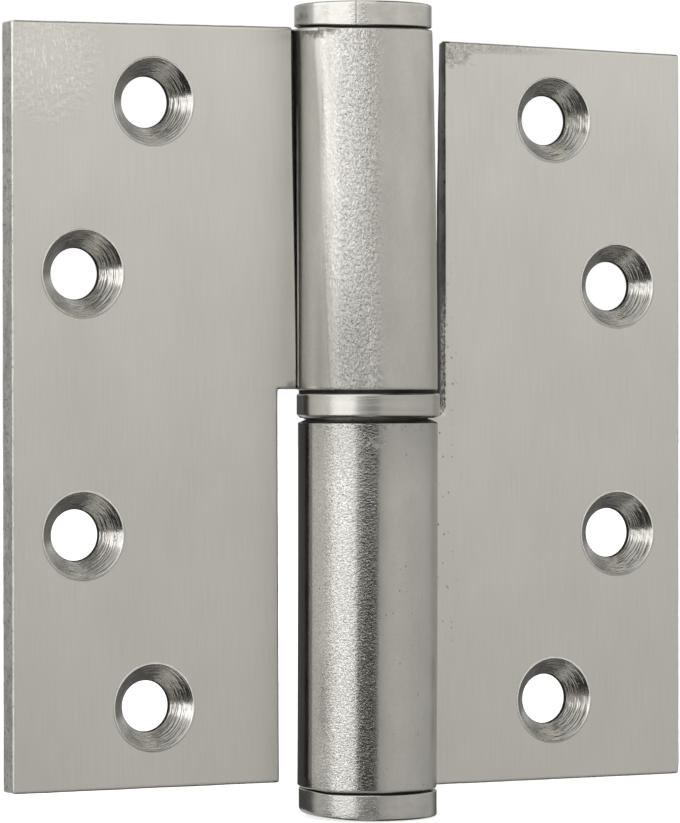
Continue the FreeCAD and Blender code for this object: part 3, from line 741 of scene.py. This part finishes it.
def roll_material(name, upper):
    """The rolled knuckle: bright and nearly polished, its skin broken up by the rolling."""
    m, nt, bsdf = new_material(name, ROLLED, 0.2, 0.0, 0.25)
    k = Nodes(nt)
    x, y, z = k.split()
    turn = k.math("MULTIPLY", k.math("ARCTAN2", x, k.math("MULTIPLY", y, -1.0)), 57.29578)
    cloud = k.noise((0.35, 0.35, 0.16), 3.0, 0.6, (5, 2, 1))
    colour = k.mix_colour(k.range(cloud, 0.30, 0.70), ROLLED_DARK, ROLLED)
    upright = k.noise((4.0, 4.0, 0.22), 3.0, 0.6, (2, 2, 9))
    if upper:
        # orange peel, strongest to the left of the middle, and a calmer brushed side at the right
        left = joined(k, k.range(turn, -60.0, -44.0, 0.22, 1.0, True), k.math("MULTIPLY", k.range(turn, -64.0, -50.0, 0.0, 1.0, True), k.range(z, 30.0, 38.0, 0.0, 0.7)))
        right = k.range(turn, -24.0, -10.0, 1.0, 0.16, True)
        amount = k.math("MULTIPLY", left, right)
        peel = k.noise((4.0, 4.0, 2.1), 3.0, 0.62, (1, 8, 4), distortion=0.5)
        wave = k.noise((0.9, 0.9, 0.20), 2.0, 0.5, (6, 3, 2))
        nrm = k.bump(k.math("MULTIPLY", peel, amount), 0.10, 1.0)
        grit = k.range(k.noise((3.6, 3.6, 2.6), 3.0, 0.68, (2, 5, 7)), 0.36, 0.64)
        colour = k.mix_colour(k.math("MULTIPLY", amount, 0.6), colour, k.mix_colour(grit, (0.36, 0.352, 0.33), (0.74, 0.725, 0.685)))
        # the lower end of the front band is painted darker, as painted shade
        lower_band_shade = k.math("MULTIPLY", k.range(z, 22.0, 6.0, 0.0, 1.0, True), k.math("MULTIPLY", k.range(turn, -80.0, -66.0, 0.0, 1.0, True), k.range(turn, -20.0, -34.0, 0.0, 1.0, True)))
        colour = k.mix_colour(k.math("MULTIPLY", lower_band_shade, 0.62), colour, (0.27, 0.264, 0.248))
        # a crease runs down from the top left: its ridge in the roll is real, and a painted highlight lightens the
        # colour along it
        t = k.math("ADD", turn, k.math("ADD", k.math("MULTIPLY", z, 0.53), 50.2))
        crease_highlight = k.math("MULTIPLY", k.math("MULTIPLY", k.range(t, -2.2, 1.6, 0.0, 1.0, True), k.range(t, 14.0, 5.0, 0.0, 1.0, True)), k.range(z, 22.0, 36.0, 0.0, 1.0, True))
        colour = k.mix_colour(k.math("MULTIPLY", crease_highlight, 0.85), colour, (0.78, 0.766, 0.725))
        nrm = k.bump(wave, 0.012, 1.0, nrm)
        nrm = k.bump(upright, 0.0035, 1.0, nrm)
        # inside the notch it is in the dark, and there is a smear at its end
        line = k.math("ADD", k.math("MULTIPLY", z, 0.006), 2.75)
        inside = k.math("MULTIPLY", k.range(k.math("SUBTRACT", y, line), -0.04, 0.10), k.math("MULTIPLY", k.range(y, 3.7, 3.5), k.range(x, -6.0, -6.5)))
        smear = joined(k, k.blob((-8.1, -0.4, 44.7), (0.9, 2.2, 1.1), 0.7, 0.7, 2.0), k.blob((-7.7, -2.7, 44.7), (1.4, 2.0, 1.35), 0.7, 0.7, 2.0), k.blob((-6.8, -4.6, 44.8), (1.2, 1.7, 0.8), 0.7, 0.6, 4.0))
        mottled = k.range(k.noise((1.6, 1.6, 2.0), 3.0, 0.7, (7, 3, 3)), 0.35, 0.6, 0.45, 1.0)
        colour = k.mix_colour(k.math("MULTIPLY", k.math("MULTIPLY", smear, mottled), 0.9), colour, (0.20, 0.19, 0.17))
        colour = k.mix_colour(inside, colour, (0.03, 0.03, 0.028))
        rough = k.math("MAXIMUM", k.range(turn, -56.0, -46.0, 0.20, 0.29, True), k.range(turn, -64.0, -70.0, 0.20, 0.36, True))
        rough = k.math("ADD", rough, k.range(smear, 0.0, 1.0, 0.0, 0.3))
    else:
        # fine ragged ripples across the bands of light, calmer at the right and at the far left
        left = k.range(turn, -88.0, -76.0, 0.25, 1.0, True)
        right = k.math("MULTIPLY", k.range(turn, -37.0, -33.0, 1.0, 0.4, True), k.range(turn, -22.0, -14.0, 1.0, 0.3, True))
        amount = k.math("MULTIPLY", left, right)
        ripple = k.noise((3.0, 3.0, 4.4), 3.0, 0.68, (4, 4, 4), distortion=0.7)
        nrm = k.bump(k.math("MULTIPLY", ripple, amount), 0.040, 1.0)
        grit = k.range(k.noise((4.4, 4.4, 5.2), 3.0, 0.70, (6, 2, 1), distortion=0.4), 0.37, 0.63)
        colour = k.mix_colour(k.math("MULTIPLY", amount, 0.75), colour, k.mix_colour(grit, (0.40, 0.392, 0.368), (0.66, 0.647, 0.61)))
        # painted shade: darker towards the top of the knuckle, under the ring
        colour = k.mix_colour(k.range(z, -9.0, -3.0, 0.0, 0.30), colour, (0.27, 0.264, 0.248))
        shaded = k.math("MULTIPLY", k.range(turn, -77.8, -79.6, 0.0, 1.0, True), k.range(turn, -92.0, -86.0, 0.0, 1.0, True))
        colour = k.mix_colour(k.math("MULTIPLY", shaded, 0.7), colour, (0.18, 0.176, 0.166))
        wave = k.noise((0.8, 0.8, 0.10), 2.0, 0.5, (2, 5, 1))
        nrm = k.bump(wave, 0.010, 1.0, nrm)
        nrm = k.bump(upright, 0.003, 1.0, nrm)
        specks, tint = k.dots((1.15, 1.15, 0.95), (0.7, 0.1, 0.2))
        few = k.node("ShaderNodeSeparateColor")
        k.put(few.inputs[0], tint)
        pit = k.math("MULTIPLY", k.range(specks, 0.13, 0.05, 0.0, 1.0, True), k.range(few.outputs["Red"], 0.80, 0.83))
        scuff = k.math("MULTIPLY", k.blob((-2.6, -8.0, -3.6), (1.4, 2.0, 0.9), 0.7, 0.5, 1.0), k.range(k.noise((2.4, 2.4, 3.4), 3.0, 0.7, (9, 1, 1)), 0.48, 0.60))
        # painted shade: a ragged dark band at the top of the knuckle, just under the ring
        ragged = k.math("MULTIPLY", k.range(z, -2.6, -1.7, 0.0, 1.0), k.range(k.noise((1.6, 1.6, 2.4), 3.0, 0.7, (3, 1, 6)), 0.52, 0.62))
        nrm = k.bump(joined(k, pit, scuff), -0.03, 1.0, nrm)
        # real pits and the scuff darken the colour, together with the painted shade of the ragged band
        colour = k.mix_colour(k.math("MULTIPLY", joined(k, pit, scuff, ragged), 0.5), colour, (0.15, 0.145, 0.135))
        rough = k.math("ADD", k.range(turn, 0.0, 30.0, 0.115, 0.32, True), k.range(scuff, 0.0, 1.0, 0.0, 0.3))
    k.put(bsdf.inputs["Normal"], nrm)
    k.put(bsdf.inputs["Base Color"], colour)
    k.put(bsdf.inputs["Roughness"], rough)
    return m


def simple_metal(name, colour, dark, rough, anis, rot, scale, depth, detail=3.0, pits=0.0, extra=None):
    m, nt, bsdf = new_material(name, colour, rough, anis, rot)
    k = Nodes(nt)
    g = k.noise(scale, detail, 0.6)
    g2 = k.noise(tuple(s * 0.18 for s in scale), 2.0, 0.5, (4, 2, 6))
    base = k.mix_colour(k.range(g2, 0.3, 0.7), dark, colour)
    nrm = k.bump(g, depth, 1.0)
    if pits:
        specks, tint = k.dots((1.6, 1.6, 1.1), (0.2, 0.4, 0.1))
        few = k.node("ShaderNodeSeparateColor")
        k.put(few.inputs[0], tint)
        pit = k.math("MULTIPLY", k.range(specks, 0.30, 0.14, 0.0, 1.0, True), k.range(few.outputs["Red"], 0.60, 0.64))
        base = k.mix_colour(k.math("MULTIPLY", pit, pits), base, tuple(0.25 * c for c in dark))
        nrm = k.bump(pit, -0.06, 1.0, nrm)
    if extra:
        base = extra(k, base)
    k.put(bsdf.inputs["Base Color"], base)
    k.put(bsdf.inputs["Roughness"], k.range(g, 0.25, 0.75, rough * 0.85, rough * 1.15))
    k.put(bsdf.inputs["Normal"], nrm)
    return m


def cap_material(name, upper):
    """Turned rim of a cap; the lower one has the ripples of the knuckle above it, the upper one a seam line and a smear."""
    m, nt, bsdf = new_material(name, ROLLED, 0.2, 0.4, 0.25)
    k = Nodes(nt)
    x, y, z = k.split()
    turn = k.math("MULTIPLY", k.math("ARCTAN2", x, k.math("MULTIPLY", y, -1.0)), 57.29578)
    cloud = k.noise((0.6, 0.6, 0.9), 2.0, 0.5, (4, 2, 6))
    colour = k.mix_colour(k.range(cloud, 0.3, 0.7), ROLLED_DARK, (0.575, 0.563, 0.53))
    nrm = k.bump(k.noise((0.8, 0.8, 7.0), 3.0, 0.6), 0.0025, 1.0)
    grain = k.noise((3.0, 3.0, 3.6), 3.0, 0.62, (6, 1, 3), distortion=0.5)
    if upper:
        amount = k.math("MULTIPLY", k.range(turn, -66.0, -56.0, 0.15, 1.0, True), k.range(turn, -30.0, -22.0, 1.0, 0.12, True))
        nrm = k.bump(k.math("MULTIPLY", grain, amount), 0.026, 1.0, nrm)
        seam = k.math("ABSOLUTE", k.math("ADD", turn, 34.6))
        groove = k.math("MULTIPLY", k.range(seam, 0.9, 0.25, 0.0, 1.0, True), k.range(y, -2.0, -3.0))
        nrm = k.bump(groove, -0.02, 1.0, nrm)
        smear = k.blob((-8.1, 0.0, 46.4), (0.8, 1.9, 0.75), 0.7, 0.5, 7.0)
        colour = k.mix_colour(k.math("MULTIPLY", smear, 0.55), colour, (0.22, 0.215, 0.20))
        colour = k.mix_colour(k.math("MULTIPLY", groove, 0.6), colour, (0.20, 0.195, 0.18))
        rough = k.range(smear, 0.0, 1.0, 0.2, 0.5)
    else:
        amount = k.math("MULTIPLY", k.range(turn, -80.0, -70.0, 0.3, 1.0, True), k.range(turn, -22.0, -12.0, 1.0, 0.12, True))
        nrm = k.bump(k.math("MULTIPLY", grain, amount), 0.024, 1.0, nrm)
        rough = k.range(cloud, 0.3, 0.7, 0.18, 0.24)
    k.put(bsdf.inputs["Base Color"], colour)
    k.put(bsdf.inputs["Roughness"], rough)
    k.put(bsdf.inputs["Normal"], nrm)
    return m


face_upper = face_material("steel_face_upper", True)
face_lower = face_material("steel_face_lower", False)
roll_upper = roll_material("steel_roll_upper", True)
roll_lower = roll_material("steel_roll_lower", False)


def edge_highlight_line(k, base):
    """The front edge of the outer side carries a painted highlight line, strongest near its top; the side has darker
    flecks lower down.
    """
    x, y, z = k.split()
    line = k.math("MULTIPLY", k.math("MULTIPLY", k.range(y, 2.34, 2.2), k.range(x, -44.0, -44.2)), k.range(z, 32.0, 37.0, 0.35, 1.0, True))
    flecks = k.math("MULTIPLY", k.range(k.noise((2.6, 2.6, 2.2), 3.0, 0.7, (3, 3, 8)), 0.46, 0.36, 0.0, 0.8), k.range(x, -44.1, -44.3))
    return k.mix_colour(line, k.mix_colour(flecks, base, (0.30, 0.295, 0.28)), (1.0, 0.99, 0.96))


def cut_edge_shade_and_highlight(k, base):
    """The cut edge: painted shade makes it black at its back, and a pitted painted highlight lightens it near the face
    towards its lower end.
    """
    x, y, z = k.split()
    grit = k.range(k.noise((2.4, 2.4, 2.0), 3.0, 0.7, (5, 5, 1)), 0.42, 0.58)
    lit = k.math("MULTIPLY", k.math("MULTIPLY", k.range(y, 3.6, 2.8, 0.0, 1.0, True), k.math("MULTIPLY", k.range(z, 16.0, 9.0, 0.0, 1.0, True), k.range(x, 11.0, 11.3))), grit)
    out = k.mix_colour(k.math("MULTIPLY", lit, 0.92), base, (1.0, 0.985, 0.94))
    return k.mix_colour(k.math("MULTIPLY", k.range(y, 3.5, 4.3, 0.0, 0.85, True), k.range(z, -0.6, 0.2)), out, (0.03, 0.03, 0.028))


edge_mat = simple_metal("steel_sheared_edge", (0.78, 0.765, 0.73), (0.58, 0.57, 0.54), 0.5, 0.0, 0.0, (2.6, 2.6, 1.8), 0.045, pits=0.5)
edge_upper = simple_metal("steel_sheared_edge_bright", (0.78, 0.765, 0.73), (0.58, 0.57, 0.54), 0.5, 0.0, 0.0, (2.6, 2.6, 1.8), 0.045, pits=0.5, extra=edge_highlight_line)
burr_mat = simple_metal("steel_burr", (0.98, 0.965, 0.92), (0.90, 0.885, 0.84), 0.36, 0.0, 0.0, (3.0, 3.0, 3.0), 0.01)
# painted shade: the cut edges beside the other knuckle and the lower roll's end bevel under the ring are given a dark
# colour
cut_mat = simple_metal("steel_cut_edge", (0.30, 0.294, 0.275), (0.13, 0.127, 0.118), 0.45, 0.0, 0.0, (2.2, 2.2, 1.4), 0.04, pits=0.6, extra=cut_edge_shade_and_highlight)
sink_mat = simple_metal("steel_cut_countersink", (0.62, 0.608, 0.57), (0.50, 0.49, 0.46), 0.21, 0.0, 0.0, (5.0, 5.0, 5.0), 0.0045)
cap_mat = cap_material("steel_turned_cap_upper", True)
cap_low_mat = cap_material("steel_turned_cap_lower", False)
ring_mat = simple_metal("steel_turned_ring", (0.535, 0.523, 0.49), (0.475, 0.464, 0.433), 0.23, 0.2, 0.25, (0.25, 0.25, 8.0), 0.0045)
shade_mat = simple_metal("steel_dark_gap", (0.05, 0.048, 0.045), (0.025, 0.024, 0.022), 0.6, 0.0, 0.0, (3.0, 3.0, 3.0), 0.01)
pin_mat = simple_metal("steel_ground_pin", (0.68, 0.67, 0.64), (0.58, 0.57, 0.55), 0.24, 0.6, 0.25, (0.5, 0.5, 9.0), 0.0015)
race_mat = simple_metal("steel_race", (0.66, 0.65, 0.62), (0.56, 0.55, 0.52), 0.22, 0.0, 0.0, (4.0, 4.0, 4.0), 0.002)
cage_mat = simple_metal("brass_cage", (0.78, 0.60, 0.30), (0.62, 0.45, 0.20), 0.34, 0.0, 0.0, (4.0, 4.0, 4.0), 0.004)
ball_mat = simple_metal("steel_ball", (0.72, 0.71, 0.69), (0.66, 0.65, 0.63), 0.12, 0.0, 0.0, (5.0, 5.0, 5.0), 0.0008)

# ------------------------------------------------------------------ the pieces
no_peel = lambda a, h: 0.0 * a


def ridge(a, centre, width):
    """A narrow line along the roll: a crest with a hollow beside it."""
    t = (a - centre) * (math.pi / 180 * ROLL_R) / width
    return np.exp(-t * t) - 0.7 * np.exp(-(t - 1.6) ** 2)


def peel_upper(a, h):
    arc = np.radians(a) * ROLL_R
    fade = smooth(44.9, 43.6, h) * smooth(2.5, 3.6, h)
    strong = 0.35 + 0.65 * smooth(285, 305, a) * smooth(345, 325, a)
    g = noise2(arc * 1.7, h * 1.5, 5) + 0.55 * noise2(arc * 3.1 + 5, h * 2.6 + 3, 6)
    w = noise2(arc * 0.55, h * 0.16, 7)
    crease = 0.022 * ridge(a, 327.6 + 0.4 * h, 0.20) * smooth(1, 6, h) * smooth(45, 40, h) * (0.6 + 0.4 * noise2(h * 0.5, 2.5, 9))
    crease = crease + 0.006 * ridge(a, 331.0 + 0.40 * h, 0.16) * smooth(10, 3, h)
    seam = 0.012 * ridge(a, 303.8, 0.14) * smooth(36, 41, h)
    return fade * (0.0042 * strong * g + 0.010 * w + crease) + smooth(45.1, 44.6, h) * seam - 0.02


def peel_lower(a, h):
    arc = np.radians(a) * ROLL_R
    fade = smooth(44.6, 43.6, h) * smooth(1.6, 2.4, h)
    g = noise2(arc * 1.6, h * 3.0, 15) + 0.5 * noise2(arc * 2.6 + 5, h * 3.4 + 3, 16)
    w = noise2(arc * 0.5, h * 0.10, 17)
    return fade * (0.0016 * g + 0.007 * w) - 0.012


upper = leaf_solid("leaf_with_upper_knuckle", dict(
    low=-43.85, high=45.15, cut=10.6, step=2.56, roll_low=2.45, mid=0.85, seed=3, rows=150, cols=175, knuckle_up=True, hollow=0.15,
    narrow=0.22, shift=(-0.24, 0.17), flats=[(3, 0.012, 20), (7, 0.004, 80)], peel=peel_upper, notch_taper=0.42,
    roll_edge=0.16, bevel_z=0.0, punch=0.0, rough_rim=1.0, worn_corner=0.0), [face_upper, edge_upper, sink_mat, roll_upper, shade_mat, cut_mat, burr_mat])
lower = leaf_solid("leaf_with_lower_knuckle", dict(
    low=-44.1, high=44.9, cut=11.6, step=0.5, roll_low=1.0, mid=-0.05, seed=8, rows=150, cols=175, knuckle_up=False, hollow=1.1,
    narrow=0.03, shift=(0.24, 0.05), flats=[(2, 0.010, 50), (5, 0.003, 10)], peel=peel_lower, notch_taper=0.30,
    roll_edge=0.16, bevel_z=0.65, punch=0.95, rough_rim=1.2, worn_corner=0.08), [face_lower, edge_mat, sink_mat, roll_lower, shade_mat, cut_mat, burr_mat])

top_profile = refine([(0.0, 42.95), (4.9, 42.95), (5.3, 43.35), (5.3, 45.15), (7.5, 45.15), (7.5, 45.35), (7.9, 45.35)], 1.0) + \
    arc_points(8.03, 45.47, 0.12, -90, 0, 5) + refine([(8.15, 45.5), (8.15, 47.79)], 0.28) + \
    arc_points(7.99, 47.79, 0.16, 0, 90, 6)[1:] + refine([(7.9, 47.95), (1.0, 47.95)], 0.6) + [(0.0, 47.95)]
RIM_STEPS = 12
bottom_rim = arc_points(7.3, -47.05, 0.9, 0, -90, RIM_STEPS)
bottom_profile = refine([(0.0, -42.7), (4.9, -42.7), (5.3, -43.1), (5.3, -44.9), (7.5, -44.9), (7.5, -45.1), (7.9, -45.1)], 1.0) + \
    arc_points(8.08, -45.22, 0.12, 90, 0, 5) + refine([(8.2, -45.25), (8.2, -46.9)], 0.28) + \
    bottom_rim + refine([(7.1, -47.95), (1.0, -47.95)], 0.6) + [(0.0, -47.95)]
rim_start = bottom_profile.index(bottom_rim[0])


def cap_skin(r, a, seed):
    outside = smooth(7.6, 8.0, r)
    skin = 0.006 * noise2(np.cos(a) * 1.5 + 4, np.sin(a) * 1.5 + 4, seed) + 0.003 * noise2(a * 6, r * 0 + 0.5, seed + 1) * smooth(0, 0.3, a) * smooth(6.28, 5.98, a)
    return (outside * skin - 0.012) * smooth(5.3, 6.0, r)


def top_uneven(r, a, z):
    d = around(r * np.cos(a), r * np.sin(a))
    return cap_skin(r, a, 31), smooth(7.0, 7.5, r) * smooth(47.0, 45.6, z) * top_end(d)


def bottom_uneven(r, a, z):
    d = around(r * np.cos(a), r * np.sin(a))
    dz = smooth(7.0, 7.5, r) * smooth(-46.6, -45.3, z) * (0.19 + low_end(d))
    up = 0.33 * smooth(85, 150, d) * smooth(262, 215, d)
    dz = dz + smooth(-46.2, -47.6, z) * up
    # the rim is rounded more and more towards the left
    big = 0.25 + 0.55 * smooth(125, 168, d) * smooth(262, 215, d)
    dr = np.zeros_like(r)
    for i in range(RIM_STEPS):
        t = math.radians(-90.0 * i / (RIM_STEPS - 1))
        row = rim_start - 1 + i
        dr[row] += (8.2 - big[row] + big[row] * math.cos(t)) - r[row]
        dz[row] = (-47.95 + big[row] + big[row] * math.sin(t)) - z[row] + up[row]
    return dr + cap_skin(r, a, 41), dz


dark_shoulder = lambda r, z: 1 if 5.2 < r < 7.7 and 44.8 < abs(z) < 45.5 else 0
top_cap = turned("turned_top_cap", top_profile, [cap_mat, shade_mat], 256, (-0.34, 0.0), top_uneven, dark_shoulder)
bottom_cap = turned("turned_bottom_cap", bottom_profile, [cap_low_mat, shade_mat], 256, (0.15, 0.0), bottom_uneven, dark_shoulder)
shell_profile = refine([(5.5, 1.25), (6.1, 1.25), (6.45, 1.3), (6.8, 1.25), (7.1, 1.1), (7.75, 1.1), (7.75, -0.85)], 0.5) + \
    refine([(7.95, -0.85), (8.0, -0.85)], 0.3) + [(8.07, -0.845), (8.40, -0.68), (8.47, -0.63)] + \
    refine([(8.5, -0.55), (8.5, 1.83)], 0.16) + arc_points(8.28, 1.83, 0.22, 0, 90, 7)[1:] + \
    refine([(8.18, 2.05), (8.18, 2.45), (5.5, 2.45)], 0.5)


def ring_uneven(r, a, z):
    d = around(r * np.cos(a), r * np.sin(a))
    outside = smooth(8.2, 8.45, r)
    groove = 0.0016 * np.sin(z * 21.0) + 0.0012 * np.sin(z * 47.0 + 1.0) + 0.0012 * noise2(np.cos(a) * 3 + 9, z * 5, 51)
    # the outside sits a little to the right of the bore
    aside = (0.30 * np.cos(a) - 0.006 * np.sin(a) ** 2) * smooth(7.9, 8.3, r)
    return aside + outside * (groove - 0.005), smooth(7.8, 8.1, r) * smooth(0.3, -0.7, z) * 0.2 * smooth(138, 172, d) * smooth(250, 215, d)


def ring_part(r, z):
    if 7.0 < r < 8.2 and z > 2.04:
        return 2
    return 1 if r < 7.74 and z < 2.4 else 0


ring = turned("turned_bearing_ring", shell_profile, [ring_mat, race_mat, shade_mat], 256, (0.0, 0.0), ring_uneven, ring_part, closed=True)
pin_profile = refine([(0.0, -42.6), (4.8, -42.6), (5.3, -42.1), (5.3, -1.0), (5.27, -0.95), (5.22, -0.9), (5.22, 40.9)], 1.5) + \
    arc_points(4.02, 40.9, 1.2, 0, 90, 9)[1:] + refine([(4.0, 42.1), (1.4, 42.1), (1.1, 41.9)], 0.6) + [(0.5, 41.6), (0.0, 41.5)]
pin = turned("ground_hinge_pin", pin_profile, [pin_mat], 192)

for piece, node, body, slot_name in (
        (upper, "upper_leaf", "lift_half", "brushed_leaf_upper"),
        (lower, "lower_leaf", "fixed_half", "brushed_leaf_lower"),
        (top_cap, "top_cap", "lift_half", "turned_cap"),
        (bottom_cap, "bottom_cap", "fixed_half", "turned_cap"),
        (ring, "bearing_shell", "bearing_top", "bearing_ring"),
        (pin, "hinge_pin", "fixed_half", "ground_pin")):
    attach(piece, body)
    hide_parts(node)

for node, mat in (("bearing_washer", race_mat), ("ball_cage", cage_mat), ("bearing_balls", ball_mat)):
    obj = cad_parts[node]
    obj.data.materials.clear()
    obj.data.materials.append(mat)
    obj.data.polygons.foreach_set("use_smooth", np.ones(len(obj.data.polygons), bool))
    obj.data.set_sharp_from_angle(angle=math.radians(35))

# ------------------------------------------------------------------ floor, light and camera
floor_mesh = bpy.data.meshes.new("floor")
edge = 3.0
floor_mesh.from_pydata([(-edge, -edge, -0.0481), (edge, -edge, -0.0481), (edge, edge, -0.0481), (-edge, edge, -0.0481)], [], [(0, 1, 2, 3)])
floor = bpy.data.objects.new("floor", floor_mesh)
bpy.context.scene.collection.objects.link(floor)
fm = bpy.data.materials.new("pale_floor")
fm.use_nodes = True
fb = fm.node_tree.nodes["Principled BSDF"]
fb.inputs["Base Color"].default_value = (0.9, 0.9, 0.89, 1)
fb.inputs["Roughness"].default_value = 0.9
fb.inputs["Emission Color"].default_value = (1, 1, 1, 1)
fb.inputs["Emission Strength"].default_value = 0.72
floor_mesh.materials.append(fm)
floor.visible_glossy = False

world = bpy.data.worlds.new("studio")
bpy.context.scene.world = world
world.use_nodes = True
wt = world.node_tree
wt.nodes.clear()
w = Nodes(wt)
out = w.node("ShaderNodeOutputWorld")
bg = w.node("ShaderNodeBackground")
tc = w.node("ShaderNodeTexCoord")
sep = w.node("ShaderNodeSeparateXYZ")
w.put(sep.inputs[0], tc.outputs["Generated"])
azimuth = w.math("MULTIPLY", w.math("ARCTAN2", sep.outputs["X"], w.math("MULTIPLY", sep.outputs["Y"], -1.0)), 57.29578)
elevation = w.math("MULTIPLY", w.math("ARCSINE", sep.outputs["Z"]), 57.29578)
az01 = w.range(azimuth, -180.0, 180.0)
el01 = w.range(elevation, -90.0, 90.0)


def ramp(fac, stops, span):
    n = w.node("ShaderNodeValToRGB")
    n.color_ramp.interpolation = "LINEAR"
    els = n.color_ramp.elements
    while len(els) > 1:
        els.remove(els[-1])
    for i, (p, v) in enumerate(stops):
        e = els[0] if i == 0 else els.new((p + span) / (2 * span))
        e.position = (p + span) / (2 * span)
        e.color = (v, v, v, 1)
    w.put(n.inputs["Fac"], fac)
    return n.outputs["Color"]


def between(fac, low_from, low_to, high_from, high_to):
    """1 from low_to to high_from, and 0 outside low_from and high_to."""
    return w.math("MULTIPLY", w.range(fac, low_from, low_to, 0.0, 1.0, True), w.range(fac, high_from, high_to, 1.0, 0.0, True))


def lay(under, mask, value):
    """Puts a card of the given brightness into the room."""
    return w.mix_colour(mask, under, (value, value, value))


# light round the hinge, by direction: a tall soft box at the left, a dark gap where the camera stands, even light at the right
level = ramp(az01, [(-180, 0.085), (-134, 0.075), (-126, 0.70), (-93, 0.74), (-86, 0.75), (-47, 0.60), (-39, 0.055), (-13, 0.055), (-6, 0.60),
                    (8, 0.74), (22, 0.79), (45, 0.76), (75, 0.70), (104, 0.64), (118, 0.30), (134, 0.13), (180, 0.085)], 180.0)
above = ramp(az01, [(-180, 0.42), (-139, 0.42), (-131, 0.60), (-87, 0.80), (-83, 0.85), (-50, 1.0), (-38, 1.15), (-16, 1.05), (4, 0.74), (22, 0.74),
                    (34, 0.80), (75, 0.70), (104, 0.62), (122, 0.33), (150, 0.30), (180, 0.42)], 180.0)
horizon = w.range(elevation, 0.8, 4.2, 0.0, 1.0, True)
mix = w.node("ShaderNodeMix", data_type="RGBA")
w.put(mix.inputs[0], horizon)
w.put(mix.inputs[6], level)
w.put(mix.inputs[7], above)
tilt = ramp(el01, [(-90, 0.12), (-60, 0.18), (-34, 0.55), (-12, 0.70), (-5.5, 0.80), (-3, 0.90), (0, 0.915), (2.5, 0.90), (4, 1.02), (6, 1.45), (12, 1.5), (22, 1.0), (60, 0.85), (90, 0.7)], 90.0)
mul = w.node("ShaderNodeMix", data_type="RGBA", blend_type="MULTIPLY")
mul.inputs[0].default_value = 1.0
w.put(mul.inputs[6], mix.outputs[2])
w.put(mul.inputs[7], tilt)
warm = w.node("ShaderNodeMix", data_type="RGBA", blend_type="MULTIPLY")
warm.inputs[0].default_value = 1.0
w.put(warm.inputs[6], mul.outputs[2])
warm.inputs[7].default_value = (1.0, 0.985, 0.955, 1)
room = warm.outputs[2]
# low and high at the far left the room is lighter again; straight below the soft box it is black
room = lay(room, w.math("MULTIPLY", w.range(azimuth, -124.0, -132.0), w.range(elevation, -9.0, -14.0)), 0.50)
room = lay(room, w.math("MULTIPLY", between(azimuth, -106.0, -100.0, -52.0, -44.0), between(elevation, -66.0, -58.0, -9.0, -7.5)), 0.025)
room = lay(room, w.math("MULTIPLY", between(azimuth, 92.0, 104.0, 140.0, 156.0), w.range(elevation, -30.0, -44.0)), 0.13)
room = lay(room, w.math("MULTIPLY", between(azimuth, -120.0, -100.0, 140.0, 156.0), w.range(elevation, 34.0, 50.0)), 0.75)
room = lay(room, w.math("MULTIPLY", between(azimuth, -12.0, 4.0, 88.0, 100.0), between(elevation, 17.0, 22.0, 70.0, 80.0)), 0.06)
room = lay(room, w.math("MULTIPLY", between(azimuth, -12.0, 4.0, 88.0, 100.0), between(elevation, -80.0, -70.0, -22.0, -17.0)), 0.05)
# further below and behind, the dark places are filled again, so other views stay lit
room = lay(room, w.math("MULTIPLY", between(azimuth, -47.0, -43.0, -13.0, -9.0), w.range(elevation, -9.0, -14.0)), 0.55)
room = lay(room, w.math("MULTIPLY", w.math("ABSOLUTE", w.range(w.math("ABSOLUTE", azimuth), 156.0, 160.0)), w.math("MAXIMUM", w.range(elevation, -9.0, -14.0), w.range(elevation, 9.0, 14.0))), 0.60)
# the soft box itself, wider at the top
room = lay(room, w.math("MULTIPLY", between(azimuth, -89.2, -87.8, -50.0, -45.0), between(elevation, -8.0, -7.0, -0.9, 0.1)), 2.4)
room = lay(room, w.math("MULTIPLY", between(azimuth, -90.0, -80.0, -54.0, -46.0), between(elevation, -0.9, 0.1, 1.6, 3.0)), 0.9)
room = lay(room, w.math("MULTIPLY", between(azimuth, -120.0, -117.0, -40.0, -28.0), between(elevation, 1.8, 3.4, 21.0, 23.0)), 2.0)
path = w.node("ShaderNodeLightPath")
seen = w.node("ShaderNodeMix", data_type="RGBA")
w.put(seen.inputs[0], path.outputs["Is Camera Ray"])
w.put(seen.inputs[6], room)
seen.inputs[7].default_value = (1.0, 1.0, 1.0, 1)
w.put(bg.inputs["Color"], seen.outputs[2])
w.put(out.inputs["Surface"], bg.outputs["Background"])

key = bpy.data.lights.new("soft_key", "AREA")
key.shape = "RECTANGLE"
key.size, key.size_y = 0.5, 0.7
key.energy = 3.0
key_obj = bpy.data.objects.new("soft_key", key)
bpy.context.scene.collection.objects.link(key_obj)
key_obj.location = (-0.55, -0.75, 0.95)
key_obj.rotation_mode = "QUATERNION"
key_obj.rotation_quaternion = (Vector((0, 0, 0)) - key_obj.location).to_track_quat("-Z", "Y")
key_obj.visible_glossy = False

cam = bpy.data.cameras.new("camera")
cam.sensor_width = 36.0
cam.lens = 4466.67 * 36.0 / 823.0
cam.clip_start, cam.clip_end = 0.01, 20.0
cam_obj = bpy.data.objects.new("camera", cam)
bpy.context.scene.collection.objects.link(cam_obj)
yaw, pitch, roll = math.radians(26.87), math.radians(-0.31), math.radians(-0.075)
ahead = Vector((math.sin(yaw), math.cos(yaw), 0))
side = Vector((math.cos(yaw), -math.sin(yaw), 0))
up = Vector((0, 0, 1))
look = ahead * math.cos(pitch) + up * math.sin(pitch)
up2 = up * math.cos(pitch) - ahead * math.sin(pitch)
right = side * math.cos(roll) + up2 * math.sin(roll)
up3 = up2 * math.cos(roll) - side * math.sin(roll)
cam_obj.matrix_world = Matrix.Translation((-0.242143, -0.471083, 0.002784)) @ Matrix((right, up3, -look)).transposed().to_4x4()
bpy.context.scene.camera = cam_obj
bpy.context.scene.view_settings.view_transform = "Standard"
bpy.context.scene.view_settings.look = "None"
